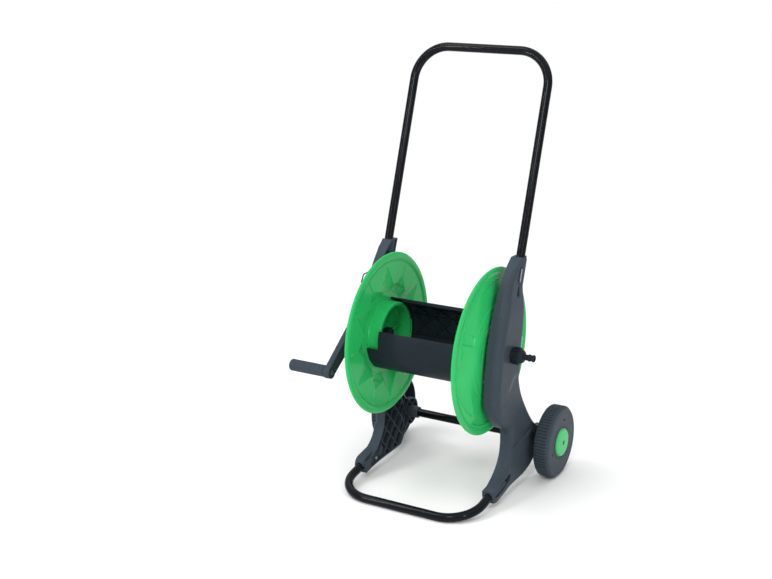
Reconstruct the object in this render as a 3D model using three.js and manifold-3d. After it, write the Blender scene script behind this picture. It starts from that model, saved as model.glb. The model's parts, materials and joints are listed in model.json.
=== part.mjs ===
// Garden hose reel cart: two plastic side panels joined by a bent handle tube, a bent foot tube and
// an axle tube. They carry a hand-cranked reel and two wheels.
// Units are millimetres. X runs from the crank side to the water inlet side, Y to the rear, Z up.
// The origin is on the floor, under the middle of the foot bar.

import * as THREE from 'three';
import { mergeVertices } from 'three/addons/utils/BufferGeometryUtils.js';
import Module from 'manifold-3d';

const wasm = await Module();
wasm.setup();

// ---- driving dimensions -------------------------------------------------------------------------

const GAP = 0.3;                 // between pieces that rest on or seat in each other
const RUNNING_GAP = 0.6;         // round a piece that turns

const TUBE_DIAMETER = 18;
const TUBE_WALL = 1.2;
const TUBE_SIDES = 8;
const SOCKET_WALL = 4.2;         // plastic round a tube

const PANEL_INNER_X = 136;
const PANEL_OUTER_X = 166;
const PANEL_WALL = 3;
const FRAME_TUBE_X = 150;        // centre lines of the handle's and the foot's legs

const HANDLE_TOP_Z = 884;        // centre line of the top bar
const HANDLE_BEND = 70;
const HANDLE_LEAN = 18.4;        // degrees back from upright
const HANDLE_SEAT = 52;          // length of tube inside the panel
const SOCKET_TOP_Y = 216;
const SOCKET_TOP_Z = 495;

const FOOT_TILT = 10.5;          // degrees that the legs rise to the rear
const FOOT_BEND = 70;
const FOOT_SOCKET_Y = 95;        // front end of the foot's sockets
const FOOT_SEAT = 85;            // length of tube inside the panel

const REEL_Y = 157.5;
const REEL_Z = 311.7;
const FLANGE_RADIUS = 170;
const FLANGE_WALL = 3;
const FLANGE_CREST_X = 113;      // inner face of the rim
const FLANGE_DISH_X = 116;       // inner face of the dish
const FLANGE_HUB_X = 126;        // inner face of the hub
const FLANGE_EDGE_X = 121;       // outer edge of the rim
const COLLAR_X = 100;            // lip of the ring round the hub
const COLLAR_RADIUS = 67.5;
const COLLAR_BORE = 60;
const FLANGE_BOSS_LENGTH = 4.5;

const PLATE_RADIUS = 75;
const PLATE_SKIN = 3;
const PLATE_DEPTH = 6.8;         // skin and ribs together
const PLATE_START = -70;         // degrees from the front, upwards
const PLATE_NOTCH = -11;         // the tab runs from PLATE_START to here
const PLATE_END = 20;
const PLATE_RIBS = 3;

const CRANK_RADIUS = 122;
const CRANK_ANGLE = -35;         // degrees from the front, upwards
const CRANK_SHAFT_RADIUS = 12;
const CRANK_ARM_OUT = 207;       // outer face of the arm
const CRANK_ARM_THICK = 14;
const GRIP_RADIUS = 12.5;
const GRIP_START = 209.5;
const GRIP_LENGTH = 84;
const GRIP_PIN_RADIUS = 4;

const INLET_THREAD_RADIUS = 13.1;
const INLET_THREAD_LENGTH = 15;  // beyond the panel
const STEM_RADIUS = 16;
const STEM_BORE = 6;
const SPIGOT_RADIUS = 9;
const SPIGOT_LENGTH = 26;
const O_RING_SECTION = 2;
const NUT_RADIUS = 17.35;
const NUT_LENGTH = 16.4;
const NIPPLE_RADIUS = 7.2;
const NIPPLE_BORE = 4.5;
const CONNECTOR_LENGTH = 46.4;
const ELBOW_RADIUS = 14.5;
const ELBOW_X = 92;              // centre of the elbow's outlet
const ELBOW_ANGLE = 65;          // degrees from the front, upwards
const ELBOW_REACH = 33.4;

const AXLE_Y = 318;
const WHEEL_RADIUS = 77;
const AXLE_Z = WHEEL_RADIUS;
const WHEEL_INNER_X = 179.2;
const WHEEL_OUTER_X = 211.5;
const WHEEL_RIM = 5.5;
const WHEEL_WEB = 3;
const WHEEL_HUB_RADIUS = 15;
const WHEEL_RIBS = 6;
const CAP_RADIUS = 30;
const CAP_RISE = 5.8;
const CAP_WALL = 2;
const AXLE_BOSS_X = 130;         // inner end of the panel's boss round the axle
const AXLE_BOSS_RADIUS = 12;

const CLIP_WIRE = 2.8;
const CLIP_LENGTH = 27;
const CLIP_BELOW_TOP = 19;       // along the tube, from the socket's top to the upper leg
const HOOK_WIRE = 2.5;

const SCREW_HEAD_RADIUS = 3.5;
const SCREW_HEAD = 2.4;
const SCREW_RADIUS = 1.6;

const ROUND = 32;                // facets of the flanges and wheels
const MIDDLE_ROUND = 24;         // of the caps and what turns in a bush
const SMALL_ROUND = 16;
const ROD_ROUND = 12;
const SCREW_ROUND = 8;

// ---- finishes -----------------------------------------------------------------------------------

function finish(color, roughness, metalness = 0) {
  return new THREE.MeshStandardMaterial({ color, roughness, metalness });
}

const slatePlastic = finish(0x444b54, 0.5);
const darkPlastic = finish(0x272c33, 0.45);
const greenPlastic = finish(0x3cb964, 0.35);
const blackTube = finish(0x0b0d10, 0.2, 0.1);
const brightSteel = finish(0xc4c8cc, 0.3, 1);
const blackRubber = finish(0x151515, 0.8);

// ---- from geometry to solids ---------------------------------------------------------------------

const radians = THREE.MathUtils.degToRad;

// Welds a geometry into a closed solid whose faces point out.
function solid(geometry) {
  const bare = new THREE.BufferGeometry();
  bare.setAttribute('position', geometry.getAttribute('position').clone());
  if (geometry.index) bare.setIndex(geometry.index.clone());
  const welded = mergeVertices(bare, 1e-4);
  const points = welded.getAttribute('position').array;
  const index = welded.index.array;
  const corners = [];
  let volume = 0;
  const a = new THREE.Vector3();
  const b = new THREE.Vector3();
  const c = new THREE.Vector3();
  for (let i = 0; i < index.length; i += 3) {
    const [p, q, r] = [index[i], index[i + 1], index[i + 2]];
    if (p === q || q === r || r === p) continue;
    corners.push(p, q, r);
    a.fromArray(points, 3 * p);
    b.fromArray(points, 3 * q);
    c.fromArray(points, 3 * r);
    volume += a.dot(b.cross(c));
  }
  if (volume < 0) corners.reverse();
  return new wasm.Manifold(new wasm.Mesh({
    numProp: 3,
    vertProperties: new Float32Array(points),
    triVerts: new Uint32Array(corners),
  }));
}

function union(first, ...others) {
  return others.reduce((sum, other) => sum.add(other), first);
}

function cut(first, ...others) {
  return others.reduce((rest, other) => rest.subtract(other), first);
}

function named(name, body, material) {
  const mesh = body.getMesh();
  const geometry = new THREE.BufferGeometry();
  geometry.setAttribute('position', new THREE.BufferAttribute(new Float32Array(mesh.vertProperties), 3));
  geometry.setIndex(new THREE.BufferAttribute(new Uint32Array(mesh.triVerts), 1));
  geometry.computeVertexNormals();
  const result = new THREE.Mesh(geometry, material);
  result.name = name;
  return result;
}

// A shape drawn in Y and Z, extruded along X between two places.
const Y_Z_X = new THREE.Matrix4().makeBasis(
  new THREE.Vector3(0, 1, 0), new THREE.Vector3(0, 0, 1), new THREE.Vector3(1, 0, 0));

function slab(shape, x1, x2, curveSegments = 8) {
  const geometry = new THREE.ExtrudeGeometry(shape, {
    depth: Math.abs(x2 - x1), bevelEnabled: false, curveSegments, steps: 1 });
  geometry.applyMatrix4(Y_Z_X);
  geometry.translate(Math.min(x1, x2), 0, 0);
  return solid(geometry);
}

// A profile of [x, radius] points turned round the X axis.
const TURN_X = new THREE.Matrix4().makeBasis(
  new THREE.Vector3(0, 1, 0), new THREE.Vector3(1, 0, 0), new THREE.Vector3(0, 0, -1));

function turned(profile, side = 1, segments = SMALL_ROUND, y = 0, z = 0) {
  const points = profile.map(([x, radius]) => new THREE.Vector2(radius, side * x));
  const [first, last] = [profile[0], profile[profile.length - 1]];
  if (first[1] > 0 || last[1] > 0) points.push(points[0].clone());
  const geometry = new THREE.LatheGeometry(points, segments);
  geometry.applyMatrix4(TURN_X);
  geometry.translate(0, y, z);
  return solid(geometry);
}

function ring(x1, x2, inner, outer, side = 1, segments = SMALL_ROUND) {
  return turned([[x1, inner], [x1, outer], [x2, outer], [x2, inner]], side, segments);
}

function disc(x1, x2, radius, side = 1, segments = SMALL_ROUND) {
  return turned([[x1, 0], [x1, radius], [x2, radius], [x2, 0]], side, segments);
}

// A cylinder between two points.
function rod(from, to, radius, segments = ROD_ROUND) {
  const start = new THREE.Vector3(...from);
  const along = new THREE.Vector3(...to).sub(start);
  const geometry = new THREE.CylinderGeometry(radius, radius, along.length(), segments);
  geometry.translate(0, along.length() / 2, 0);
  geometry.applyQuaternion(new THREE.Quaternion().setFromUnitVectors(
    new THREE.Vector3(0, 1, 0), along.clone().normalize()));
  geometry.translate(start.x, start.y, start.z);
  return solid(geometry);
}

function box(x1, x2, y1, y2, z1, z2) {
  const geometry = new THREE.BoxGeometry(Math.abs(x2 - x1), y2 - y1, z2 - z1);
  geometry.translate((x1 + x2) / 2, (y1 + y2) / 2, (z1 + z2) / 2);
  return solid(geometry);
}

function arcPoint(radius, degrees) {
  const angle = radians(degrees);
  return new THREE.Vector2(-radius * Math.cos(angle), radius * Math.sin(angle));
}

// ---- bent tubes and wires ------------------------------------------------------------------------

// A centre line of straight runs joined by round bends. It has one station at each end of a run and
// a few along each bend, and its direction is exact at every station.
class BentLine extends THREE.Curve {
  constructor(corners, bend, bendSteps = 5) {
    super();
    this.stations = [corners[0].clone()];
    this.directions = [corners[1].clone().sub(corners[0]).normalize()];
    for (let i = 1; i < corners.length - 1; i++) {
      const before = corners[i].clone().sub(corners[i - 1]).normalize();
      const after = corners[i + 1].clone().sub(corners[i]).normalize();
      const turn = before.angleTo(after);
      const start = corners[i].clone().addScaledVector(before, -bend * Math.tan(turn / 2));
      const inward = after.clone().addScaledVector(before, -after.dot(before)).normalize();
      for (let step = 0; step <= bendSteps; step++) {
        const angle = turn * step / bendSteps;
        this.stations.push(start.clone()
          .addScaledVector(before, bend * Math.sin(angle))
          .addScaledVector(inward, bend * (1 - Math.cos(angle))));
        this.directions.push(before.clone().multiplyScalar(Math.cos(angle))
          .addScaledVector(inward, Math.sin(angle)));
      }
    }
    this.stations.push(corners[corners.length - 1].clone());
    this.directions.push(corners[corners.length - 1].clone()
      .sub(corners[corners.length - 2]).normalize());
  }

  get steps() {
    return this.stations.length - 1;
  }

  getUtoTmapping(u) {
    return u;
  }

  getPoint(t, target = new THREE.Vector3()) {
    const place = Math.min(Math.max(t, 0), 1) * this.steps;
    const whole = Math.min(Math.floor(place + 1e-9), this.steps - 1);
    return target.lerpVectors(this.stations[whole], this.stations[whole + 1], place - whole);
  }

  getTangent(t, target = new THREE.Vector3()) {
    return target.copy(this.directions[Math.round(t * this.steps)]);
  }
}

// Points of a regular polygon that is measured across its flats.
function polygonPoints(radius, sides, turnDegrees = 0) {
  const corner = radius / Math.cos(Math.PI / sides);
  return Array.from({ length: sides }, (_, i) => {
    const angle = 2 * Math.PI * (i + 0.5) / sides + radians(turnDegrees);
    return new THREE.Vector2(corner * Math.cos(angle), corner * Math.sin(angle));
  });
}

function bent(line, section) {
  return solid(new THREE.ExtrudeGeometry(section, { steps: line.steps, extrudePath: line, bevelEnabled: false }));
}

function bentTube(corners, bend, turnDegrees = 0) {
  const section = new THREE.Shape(polygonPoints(TUBE_DIAMETER / 2, TUBE_SIDES, turnDegrees));
  section.holes.push(new THREE.Path(
    polygonPoints(TUBE_DIAMETER / 2 - TUBE_WALL, TUBE_SIDES, turnDegrees).reverse()));
  return bent(new BentLine(corners, bend), section);
}

function bentWire(corners, bend, diameter) {
  return bent(new BentLine(corners, bend, 3), new THREE.Shape(polygonPoints(diameter / 2, 8)));
}

// ---- places on the frame -------------------------------------------------------------------------

const lean = radians(HANDLE_LEAN);
const tilt = radians(FOOT_TILT);
const tubeRadius = TUBE_DIAMETER / 2;
const socketRadius = tubeRadius + GAP + SOCKET_WALL;
const tubeCorner = tubeRadius / Math.cos(Math.PI / TUBE_SIDES);
const tubeHole = (tubeCorner + GAP) / Math.cos(Math.PI / ROD_ROUND);
const boltHole = SCREW_RADIUS + GAP;

// A point of the handle's leg, measured along the leg from the socket's top, down being negative.
function handlePoint(along, x = FRAME_TUBE_X) {
  return new THREE.Vector3(x, SOCKET_TOP_Y + along * Math.sin(lean), SOCKET_TOP_Z + along * Math.cos(lean));
}

// A point of the foot's leg, measured along the leg from the front bar.
function footPoint(along, x = FRAME_TUBE_X) {
  return new THREE.Vector3(x, along * Math.cos(tilt), tubeRadius + along * Math.sin(tilt));
}

const handleRise = (HANDLE_TOP_Z - SOCKET_TOP_Z) / Math.cos(lean);
const footSocketAlong = FOOT_SOCKET_Y / Math.cos(tilt);
const footEndAlong = footSocketAlong + FOOT_SEAT;
const footScrewAlong = footSocketAlong + FOOT_SEAT / 2;
const footScrewSeat = Math.min(PANEL_INNER_X, FRAME_TUBE_X - socketRadius) - GAP;

// The line of the clip's back lies beside the handle tube, ahead of it and towards the outside.
const CLIP_CLEARANCE = 3;        // from the socket's outside to the centre line of the clip's back
const clipStandoff = socketRadius + CLIP_CLEARANCE;
const CLIP_TURN = 43.5;          // degrees ahead of straight outwards

function clipPoint(along, distance, side) {
  return handlePoint(along, side * (FRAME_TUBE_X + distance * Math.cos(radians(CLIP_TURN))))
    .add(new THREE.Vector3(0, -distance * Math.sin(radians(CLIP_TURN)), 0));
}

function clipCorners(side, inset) {
  return [
    clipPoint(-CLIP_BELOW_TOP, inset, side),
    clipPoint(-CLIP_BELOW_TOP, clipStandoff, side),
    clipPoint(-CLIP_BELOW_TOP - CLIP_LENGTH, clipStandoff, side),
    clipPoint(-CLIP_BELOW_TOP - CLIP_LENGTH, inset, side),
  ];
}

const CLIP_REACH = 3;            // the legs stop this far from the tube's centre line

function clipHoles(side, radius) {
  const [upperIn, upperOut, lowerOut, lowerIn] = clipCorners(side, CLIP_REACH - 1);
  return [rod(upperIn.toArray(), upperOut.toArray(), radius, 8), rod(lowerIn.toArray(), lowerOut.toArray(), radius, 8)];
}

const clipHole = CLIP_WIRE / 2 / Math.cos(Math.PI / 8) + GAP;

// The hose hook's wire leaves the crank side panel's outer face and turns down and forwards.
const hookCorners = [
  new THREE.Vector3(-(PANEL_OUTER_X - PANEL_WALL - 4), 159, 440),
  new THREE.Vector3(-(PANEL_OUTER_X + 6), 150, 432),
  new THREE.Vector3(-(PANEL_OUTER_X + 7), 142, 416),
];

// ---- side panels ---------------------------------------------------------------------------------

// The outline, in Y and Z. `inset` moves it in by a wall.
function panelShape() {
  const axleRound = 31;
  const shape = new THREE.Shape();
  shape.moveTo(203, 498);
  shape.lineTo(184, 484);
  shape.splineThru([new THREE.Vector2(154, 453), new THREE.Vector2(122, 398),
    new THREE.Vector2(104, 343), new THREE.Vector2(91, 270), new THREE.Vector2(91, 229)]);
  shape.bezierCurveTo(93, 207, 112, 183, 137, 163);
  shape.bezierCurveTo(150, 153, 171, 150, 172, 140);
  shape.bezierCurveTo(177, 98, 170, 66, 114, 41);
  shape.lineTo(FOOT_SOCKET_Y - 2, 38);
  shape.lineTo(FOOT_SOCKET_Y + 3, 14);
  shape.bezierCurveTo(130, 22, 180, 23, 216, 24);
  shape.bezierCurveTo(250, 25, 275, 30, 300, 47.5);
  shape.absarc(AXLE_Y, AXLE_Z, axleRound, radians(-120), radians(90), false);
  shape.bezierCurveTo(290, 110, 247, 160, 220, 201);
  shape.bezierCurveTo(203, 227, 196, 250, 196, 290);
  shape.bezierCurveTo(197, 330, 208, 352, 209, 400);
  shape.bezierCurveTo(209, 430, 210, 441, 219, 468);
  shape.lineTo(230, 497);
  shape.closePath();
  return shape;
}

// The same outline moved inwards by a distance along each corner's bisector.
function insetShape(shape, distance, curveSegments) {
  const points = shape.extractPoints(curveSegments).shape;
  const clean = points.filter((p, i) => p.distanceTo(points[(i + 1) % points.length]) > 0.01);
  const turn = THREE.ShapeUtils.area(clean) > 0 ? 1 : -1;
  const moved = clean.map((p, i) => {
    const before = p.clone().sub(clean[(i + clean.length - 1) % clean.length]).normalize();
    const after = clean[(i + 1) % clean.length].clone().sub(p).normalize();
    const normal = new THREE.Vector2(-before.y - after.y, before.x + after.x).multiplyScalar(turn);
    const length = normal.length();
    return p.clone().addScaledVector(normal, 2 * distance / (length * length));
  });
  return new THREE.Shape(moved);
}

const PANEL_CURVE_STEPS = 4;
const TOP_THINNING = 6.5;        // how much thinner the panel is beside the handle's socket
const THIN_FROM_Z = 395;
const THIN_FULL_Z = 450;

// The wedge that thins the panel's top, with its face set in by `depth`.
function topWedge(side, depth) {
  const flat = new THREE.Shape([
    new THREE.Vector2(PANEL_OUTER_X + 1 - depth, THIN_FROM_Z),
    new THREE.Vector2(PANEL_OUTER_X - depth, THIN_FROM_Z),
    new THREE.Vector2(PANEL_OUTER_X - depth - TOP_THINNING, THIN_FULL_Z),
    new THREE.Vector2(PANEL_OUTER_X - depth - TOP_THINNING, SOCKET_TOP_Z + 20),
    new THREE.Vector2(PANEL_OUTER_X + 1 - depth + PANEL_WALL, SOCKET_TOP_Z + 20),
    new THREE.Vector2(PANEL_OUTER_X + 1 - depth + PANEL_WALL, THIN_FROM_Z),
  ].map((p) => new THREE.Vector2(side * p.x, p.y)));
  const geometry = new THREE.ExtrudeGeometry(flat, { depth: 200, bevelEnabled: false });
  geometry.applyMatrix4(new THREE.Matrix4().makeBasis(
    new THREE.Vector3(1, 0, 0), new THREE.Vector3(0, 0, 1), new THREE.Vector3(0, -1, 0)));
  geometry.translate(0, 280, 0);
  return solid(geometry);
}

// The wedge that sets the panel's open side back towards the axle.
const AXLE_RECESS = 14;
const RECESS_FROM_Y = 248;
const RECESS_FULL_Y = 292;

function axleWedge(side) {
  const flat = new THREE.Shape([
    [PANEL_INNER_X - 6, RECESS_FROM_Y], [PANEL_INNER_X, RECESS_FROM_Y],
    [PANEL_INNER_X + AXLE_RECESS, RECESS_FULL_Y], [PANEL_INNER_X + AXLE_RECESS, AXLE_Y + 60],
    [PANEL_INNER_X - 6, AXLE_Y + 60],
  ].map(([x, y]) => new THREE.Vector2(side * x, y)));
  return solid(new THREE.ExtrudeGeometry(flat, { depth: 260, bevelEnabled: false }));
}

// Slanted stiffening ribs inside the panel, as slabs that cross it.
function ribSlabs(side) {
  const ribs = [];
  const reach = 400;
  const thick = 2.4;
  for (const [y, z, angle] of [
    [150, 400, 60], [150, 240, 55], [150, 240, -60], [215, 110, 45], [225, 100, -40],
  ]) {
    const geometry = new THREE.BoxGeometry(PANEL_OUTER_X - PANEL_INNER_X - 4, reach, thick);
    geometry.rotateX(radians(angle));
    geometry.translate(side * (PANEL_INNER_X + PANEL_OUTER_X + 4) / 2, y, z);
    ribs.push(solid(geometry));
  }
  return ribs;
}

const REEL_BOSS_RADIUS = 26;
const PANEL_SLOT = { y: 187.5, z: 434.5, length: 13, radius: 3.2 };

function sidePanel(side, holes) {
  const outline = panelShape();
  const skin = PANEL_OUTER_X - PANEL_WALL;
  const outer = cut(slab(outline, side * PANEL_INNER_X, side * PANEL_OUTER_X, PANEL_CURVE_STEPS),
    topWedge(side, 0), axleWedge(side));
  const hollow = cut(
    slab(insetShape(outline, PANEL_WALL, PANEL_CURVE_STEPS), side * (PANEL_INNER_X - 1), side * skin),
    topWedge(side, PANEL_WALL), ...ribSlabs(side), box(side * (PANEL_INNER_X - 2), side * (skin + 1),
      FOOT_SOCKET_Y - 20, FOOT_SOCKET_Y + 42, 0, 60));
  const x = side * FRAME_TUBE_X;
  const handleTop = handlePoint(0, x);
  const handleEnd = handlePoint(-HANDLE_SEAT - GAP - PANEL_WALL, x);
  const footFront = footPoint(footSocketAlong, x);
  const footRear = footPoint(footEndAlong + GAP + PANEL_WALL, x);
  const solidParts = union(cut(outer, hollow),
    rod(handleEnd.toArray(), handleTop.toArray(), socketRadius),
    rod(footFront.toArray(), footRear.toArray(), socketRadius),
    rod([side * PANEL_INNER_X, REEL_Y, REEL_Z], [side * (skin + 1), REEL_Y, REEL_Z], REEL_BOSS_RADIUS),
    rod([side * AXLE_BOSS_X, AXLE_Y, AXLE_Z], [side * PANEL_OUTER_X, AXLE_Y, AXLE_Z], AXLE_BOSS_RADIUS));
  const tubeBores = [
    rod(handlePoint(-HANDLE_SEAT - GAP, x).toArray(), handlePoint(10, x).toArray(), tubeHole),
    rod(footPoint(footSocketAlong - 10, x).toArray(), footPoint(footEndAlong + GAP, x).toArray(), tubeHole),
    rod([side * (AXLE_BOSS_X - 1), AXLE_Y, AXLE_Z], [side * (PANEL_OUTER_X + 1), AXLE_Y, AXLE_Z],
      tubeRadius + GAP, SMALL_ROUND),
  ];
  const slotRise = PANEL_SLOT.length / 2;
  const slotEnds = [-1, 1].map((end) => rod(
    [side * (PANEL_OUTER_X - 12), PANEL_SLOT.y + end * slotRise * Math.sin(lean), PANEL_SLOT.z + end * slotRise],
    [side * (PANEL_OUTER_X + 1), PANEL_SLOT.y + end * slotRise * Math.sin(lean), PANEL_SLOT.z + end * slotRise],
    PANEL_SLOT.radius, 10));
  const screw = footPoint(footScrewAlong, 0);
  return cut(solidParts, ...tubeBores, ...slotEnds, ...clipHoles(side, clipHole), ...holes,
    rod([side * (footScrewSeat - 1), screw.y, screw.z], [x, screw.y, screw.z], boltHole, SCREW_ROUND));
}

// ---- water swivel --------------------------------------------------------------------------------

const BUSH_WALL = 1.6;
const bushBore = STEM_RADIUS + GAP;
const bushRadius = bushBore + BUSH_WALL;
const flangeBack = FLANGE_HUB_X + FLANGE_WALL;
const flangeBossEnd = flangeBack + FLANGE_BOSS_LENGTH;
const flangeBore = bushRadius + RUNNING_GAP;
const bushEnd = PANEL_OUTER_X - 2 * PANEL_WALL;
const threadEnd = PANEL_OUTER_X + INLET_THREAD_LENGTH;

// A screw-on connector along +X from its nut's open end: ribbed nut, domed shoulder, snap-in nipple.
function connector(side, start) {
  const shoulder = NUT_LENGTH + 8;
  const seat = NUT_LENGTH + 0.5;
  const bore = INLET_THREAD_RADIUS + 0.4;
  const neck = NIPPLE_RADIUS - 1.3;
  const groove = (CONNECTOR_LENGTH - shoulder) / 5;
  const profile = [
    [0, bore], [0, NUT_RADIUS], [NUT_LENGTH, NUT_RADIUS], [NUT_LENGTH + 2, NUT_RADIUS - 3],
    [shoulder - 1, NUT_RADIUS - 5], [shoulder, neck], [shoulder + 2 * groove, neck],
    [shoulder + 2 * groove, NIPPLE_RADIUS], [shoulder + 3 * groove, NIPPLE_RADIUS],
    [shoulder + 3.2 * groove, neck], [shoulder + 4 * groove, neck], [shoulder + 4 * groove, NIPPLE_RADIUS],
    [CONNECTOR_LENGTH, NIPPLE_RADIUS], [CONNECTOR_LENGTH, NIPPLE_BORE], [seat, NIPPLE_BORE], [seat, bore],
  ].map(([x, radius]) => [x + start, radius]);
  return turned(profile, side);
}

function inletStem() {
  return turned([
    [flangeBack - 2.5, STEM_BORE], [flangeBack - 2.5 - SPIGOT_LENGTH, STEM_BORE],
    [flangeBack - 2.5 - SPIGOT_LENGTH, SPIGOT_RADIUS], [flangeBack - 2.5, SPIGOT_RADIUS],
    [flangeBack - 2.5, STEM_RADIUS], [bushEnd - GAP, STEM_RADIUS],
    [bushEnd - GAP, INLET_THREAD_RADIUS], [threadEnd, INLET_THREAD_RADIUS], [threadEnd, STEM_BORE],
  ]);
}

const elbowSocket = SPIGOT_RADIUS + O_RING_SECTION + RUNNING_GAP;
const elbowMouth = FLANGE_HUB_X - 4;

function elbow() {
  const out = new THREE.Vector3(0, -Math.cos(radians(ELBOW_ANGLE)), Math.sin(radians(ELBOW_ANGLE)));
  const outlet = out.clone().multiplyScalar(ELBOW_REACH);
  const far = out.clone().multiplyScalar(ELBOW_REACH + 5);
  const socketStart = flangeBack - 2.5 - SPIGOT_LENGTH - GAP;
  return cut(
    union(disc(ELBOW_X - ELBOW_RADIUS, elbowMouth, ELBOW_RADIUS),
      rod([ELBOW_X, 0, 0], [ELBOW_X, outlet.y, outlet.z], INLET_THREAD_RADIUS)),
    disc(ELBOW_X - STEM_BORE, socketStart + 1, STEM_BORE),
    disc(socketStart, elbowMouth + 1, elbowSocket),
    rod([ELBOW_X, 0, 0], [ELBOW_X, far.y, far.z], STEM_BORE));
}

// Turns a solid made along +X so that it runs along the elbow's outlet.
function alongOutlet(mesh) {
  const direction = new THREE.Vector3(0, -Math.cos(radians(ELBOW_ANGLE)), Math.sin(radians(ELBOW_ANGLE)));
  const outlet = new THREE.Group();
  outlet.position.set(ELBOW_X, 0, 0);
  outlet.quaternion.setFromUnitVectors(new THREE.Vector3(1, 0, 0), direction);
  outlet.add(mesh);
  return outlet;
}

// ---- reel ----------------------------------------------------------------------------------------

// Section of a flange, from its bore out over the collar, the dish and the rim, and back behind.
function flangeProfile(bore, bossRadius) {
  const rim = FLANGE_RADIUS;
  const back = (x) => x + FLANGE_WALL;
  return [
    [FLANGE_HUB_X, bore], [FLANGE_HUB_X, COLLAR_BORE], [COLLAR_X, COLLAR_BORE],
    [COLLAR_X, COLLAR_RADIUS], [FLANGE_HUB_X, COLLAR_RADIUS], [FLANGE_HUB_X, 84],
    [FLANGE_DISH_X, 119], [FLANGE_DISH_X, rim - 17], [FLANGE_CREST_X, rim - 14],
    [FLANGE_CREST_X, rim - 5], [FLANGE_CREST_X + 2.5, rim], [FLANGE_EDGE_X - 1.5, rim],
    [FLANGE_EDGE_X, rim - 3], [FLANGE_EDGE_X, rim - 14], [back(FLANGE_DISH_X), rim - 20],
    [back(FLANGE_DISH_X), 120], [flangeBack, 85],
    [flangeBack, COLLAR_RADIUS - 2.5], [COLLAR_X + FLANGE_WALL, COLLAR_RADIUS - 2.5],
    [COLLAR_X + FLANGE_WALL, COLLAR_BORE + 2.5], [flangeBack, COLLAR_BORE + 2.5],
    [flangeBack, bossRadius], [flangeBossEnd, bossRadius], [flangeBossEnd, bore],
  ];
}

const plateTabEnd = FLANGE_HUB_X - GAP;
const drumScrewRadius = PLATE_RADIUS - PLATE_DEPTH / 2;
const drumScrewAngle = (PLATE_START + PLATE_NOTCH) / 2;
const DRUM_SCREW_LENGTH = 14;

function drumScrewPlace(turn) {
  return arcPoint(drumScrewRadius, drumScrewAngle + turn);
}

function flange(side, bore, bossRadius) {
  const holes = [0, 180].map((turn) => {
    const at = drumScrewPlace(turn);
    return rod([side * (FLANGE_HUB_X - 1), at.x, at.y], [side * (flangeBack + 1), at.x, at.y], boltHole, SCREW_ROUND);
  });
  return cut(turned(flangeProfile(bore, bossRadius), side, ROUND), ...holes);
}

function sector(inner, outer, from, to, steps = 6) {
  const points = [];
  for (let i = 0; i <= steps; i++) points.push(arcPoint(outer, from + (to - from) * i / steps));
  for (let i = steps; i >= 0; i--) points.push(arcPoint(inner, from + (to - from) * i / steps));
  return new THREE.Shape(points);
}

// A quarter of the drum. A tab at each end runs into the flange and takes a screw.
function drumPlate(turn) {
  const inner = PLATE_RADIUS - PLATE_SKIN;
  const ribFoot = PLATE_RADIUS - PLATE_DEPTH;
  const half = COLLAR_X - 1;
  const at = (degrees) => degrees + turn;
  const tabBlock = COLLAR_X + 5;
  let plate = union(
    slab(sector(inner, PLATE_RADIUS, at(PLATE_START), at(PLATE_END)), -half, half),
    slab(sector(inner, PLATE_RADIUS, at(PLATE_START), at(PLATE_NOTCH), 4), -plateTabEnd, plateTabEnd));
  for (let i = 0; i < PLATE_RIBS; i++) {
    const middle = PLATE_START + 3 + (PLATE_END - PLATE_START - 6) * i / (PLATE_RIBS - 1);
    plate = plate.add(slab(sector(ribFoot, inner + 1, at(middle - 1.3), at(middle + 1.3), 1), -half, half));
  }
  for (const side of [-1, 1]) {
    const screw = drumScrewPlace(turn);
    plate = plate.add(slab(
      sector(ribFoot, inner + 1, at(drumScrewAngle - 7), at(drumScrewAngle + 7), 2),
      side * tabBlock, side * plateTabEnd));
    plate = plate.subtract(rod([side * (plateTabEnd - DRUM_SCREW_LENGTH), screw.x, screw.y],
      [side * (plateTabEnd + 1), screw.x, screw.y], boltHole, SCREW_ROUND));
  }
  return plate;
}

function drumScrew(side, turn) {
  const at = drumScrewPlace(turn);
  const seat = flangeBack + GAP;
  return union(
    rod([side * seat, at.x, at.y], [side * (seat + SCREW_HEAD), at.x, at.y], SCREW_HEAD_RADIUS, SCREW_ROUND),
    rod([side * (flangeBack - DRUM_SCREW_LENGTH), at.x, at.y], [side * (seat + 0.5), at.x, at.y], SCREW_RADIUS, SCREW_ROUND));
}

// ---- crank ---------------------------------------------------------------------------------------

const crankEnd = arcPoint(CRANK_RADIUS, CRANK_ANGLE);
const armIn = CRANK_ARM_OUT - CRANK_ARM_THICK;
const SHAFT_KEY_RADIUS = 10;
const SHAFT_STUB_RADIUS = 5;
const SHAFT_STUB_LENGTH = 14;
const ARM_HUB_RADIUS = 17;
const ARM_END_RADIUS = 14;
const crankBushBore = CRANK_SHAFT_RADIUS + RUNNING_GAP;
const crankBushRadius = crankBushBore + 3;
const BUSH_LIP = 2;
const leftBossEnd = FLANGE_HUB_X + FLANGE_WALL + FLANGE_BOSS_LENGTH;

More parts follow.
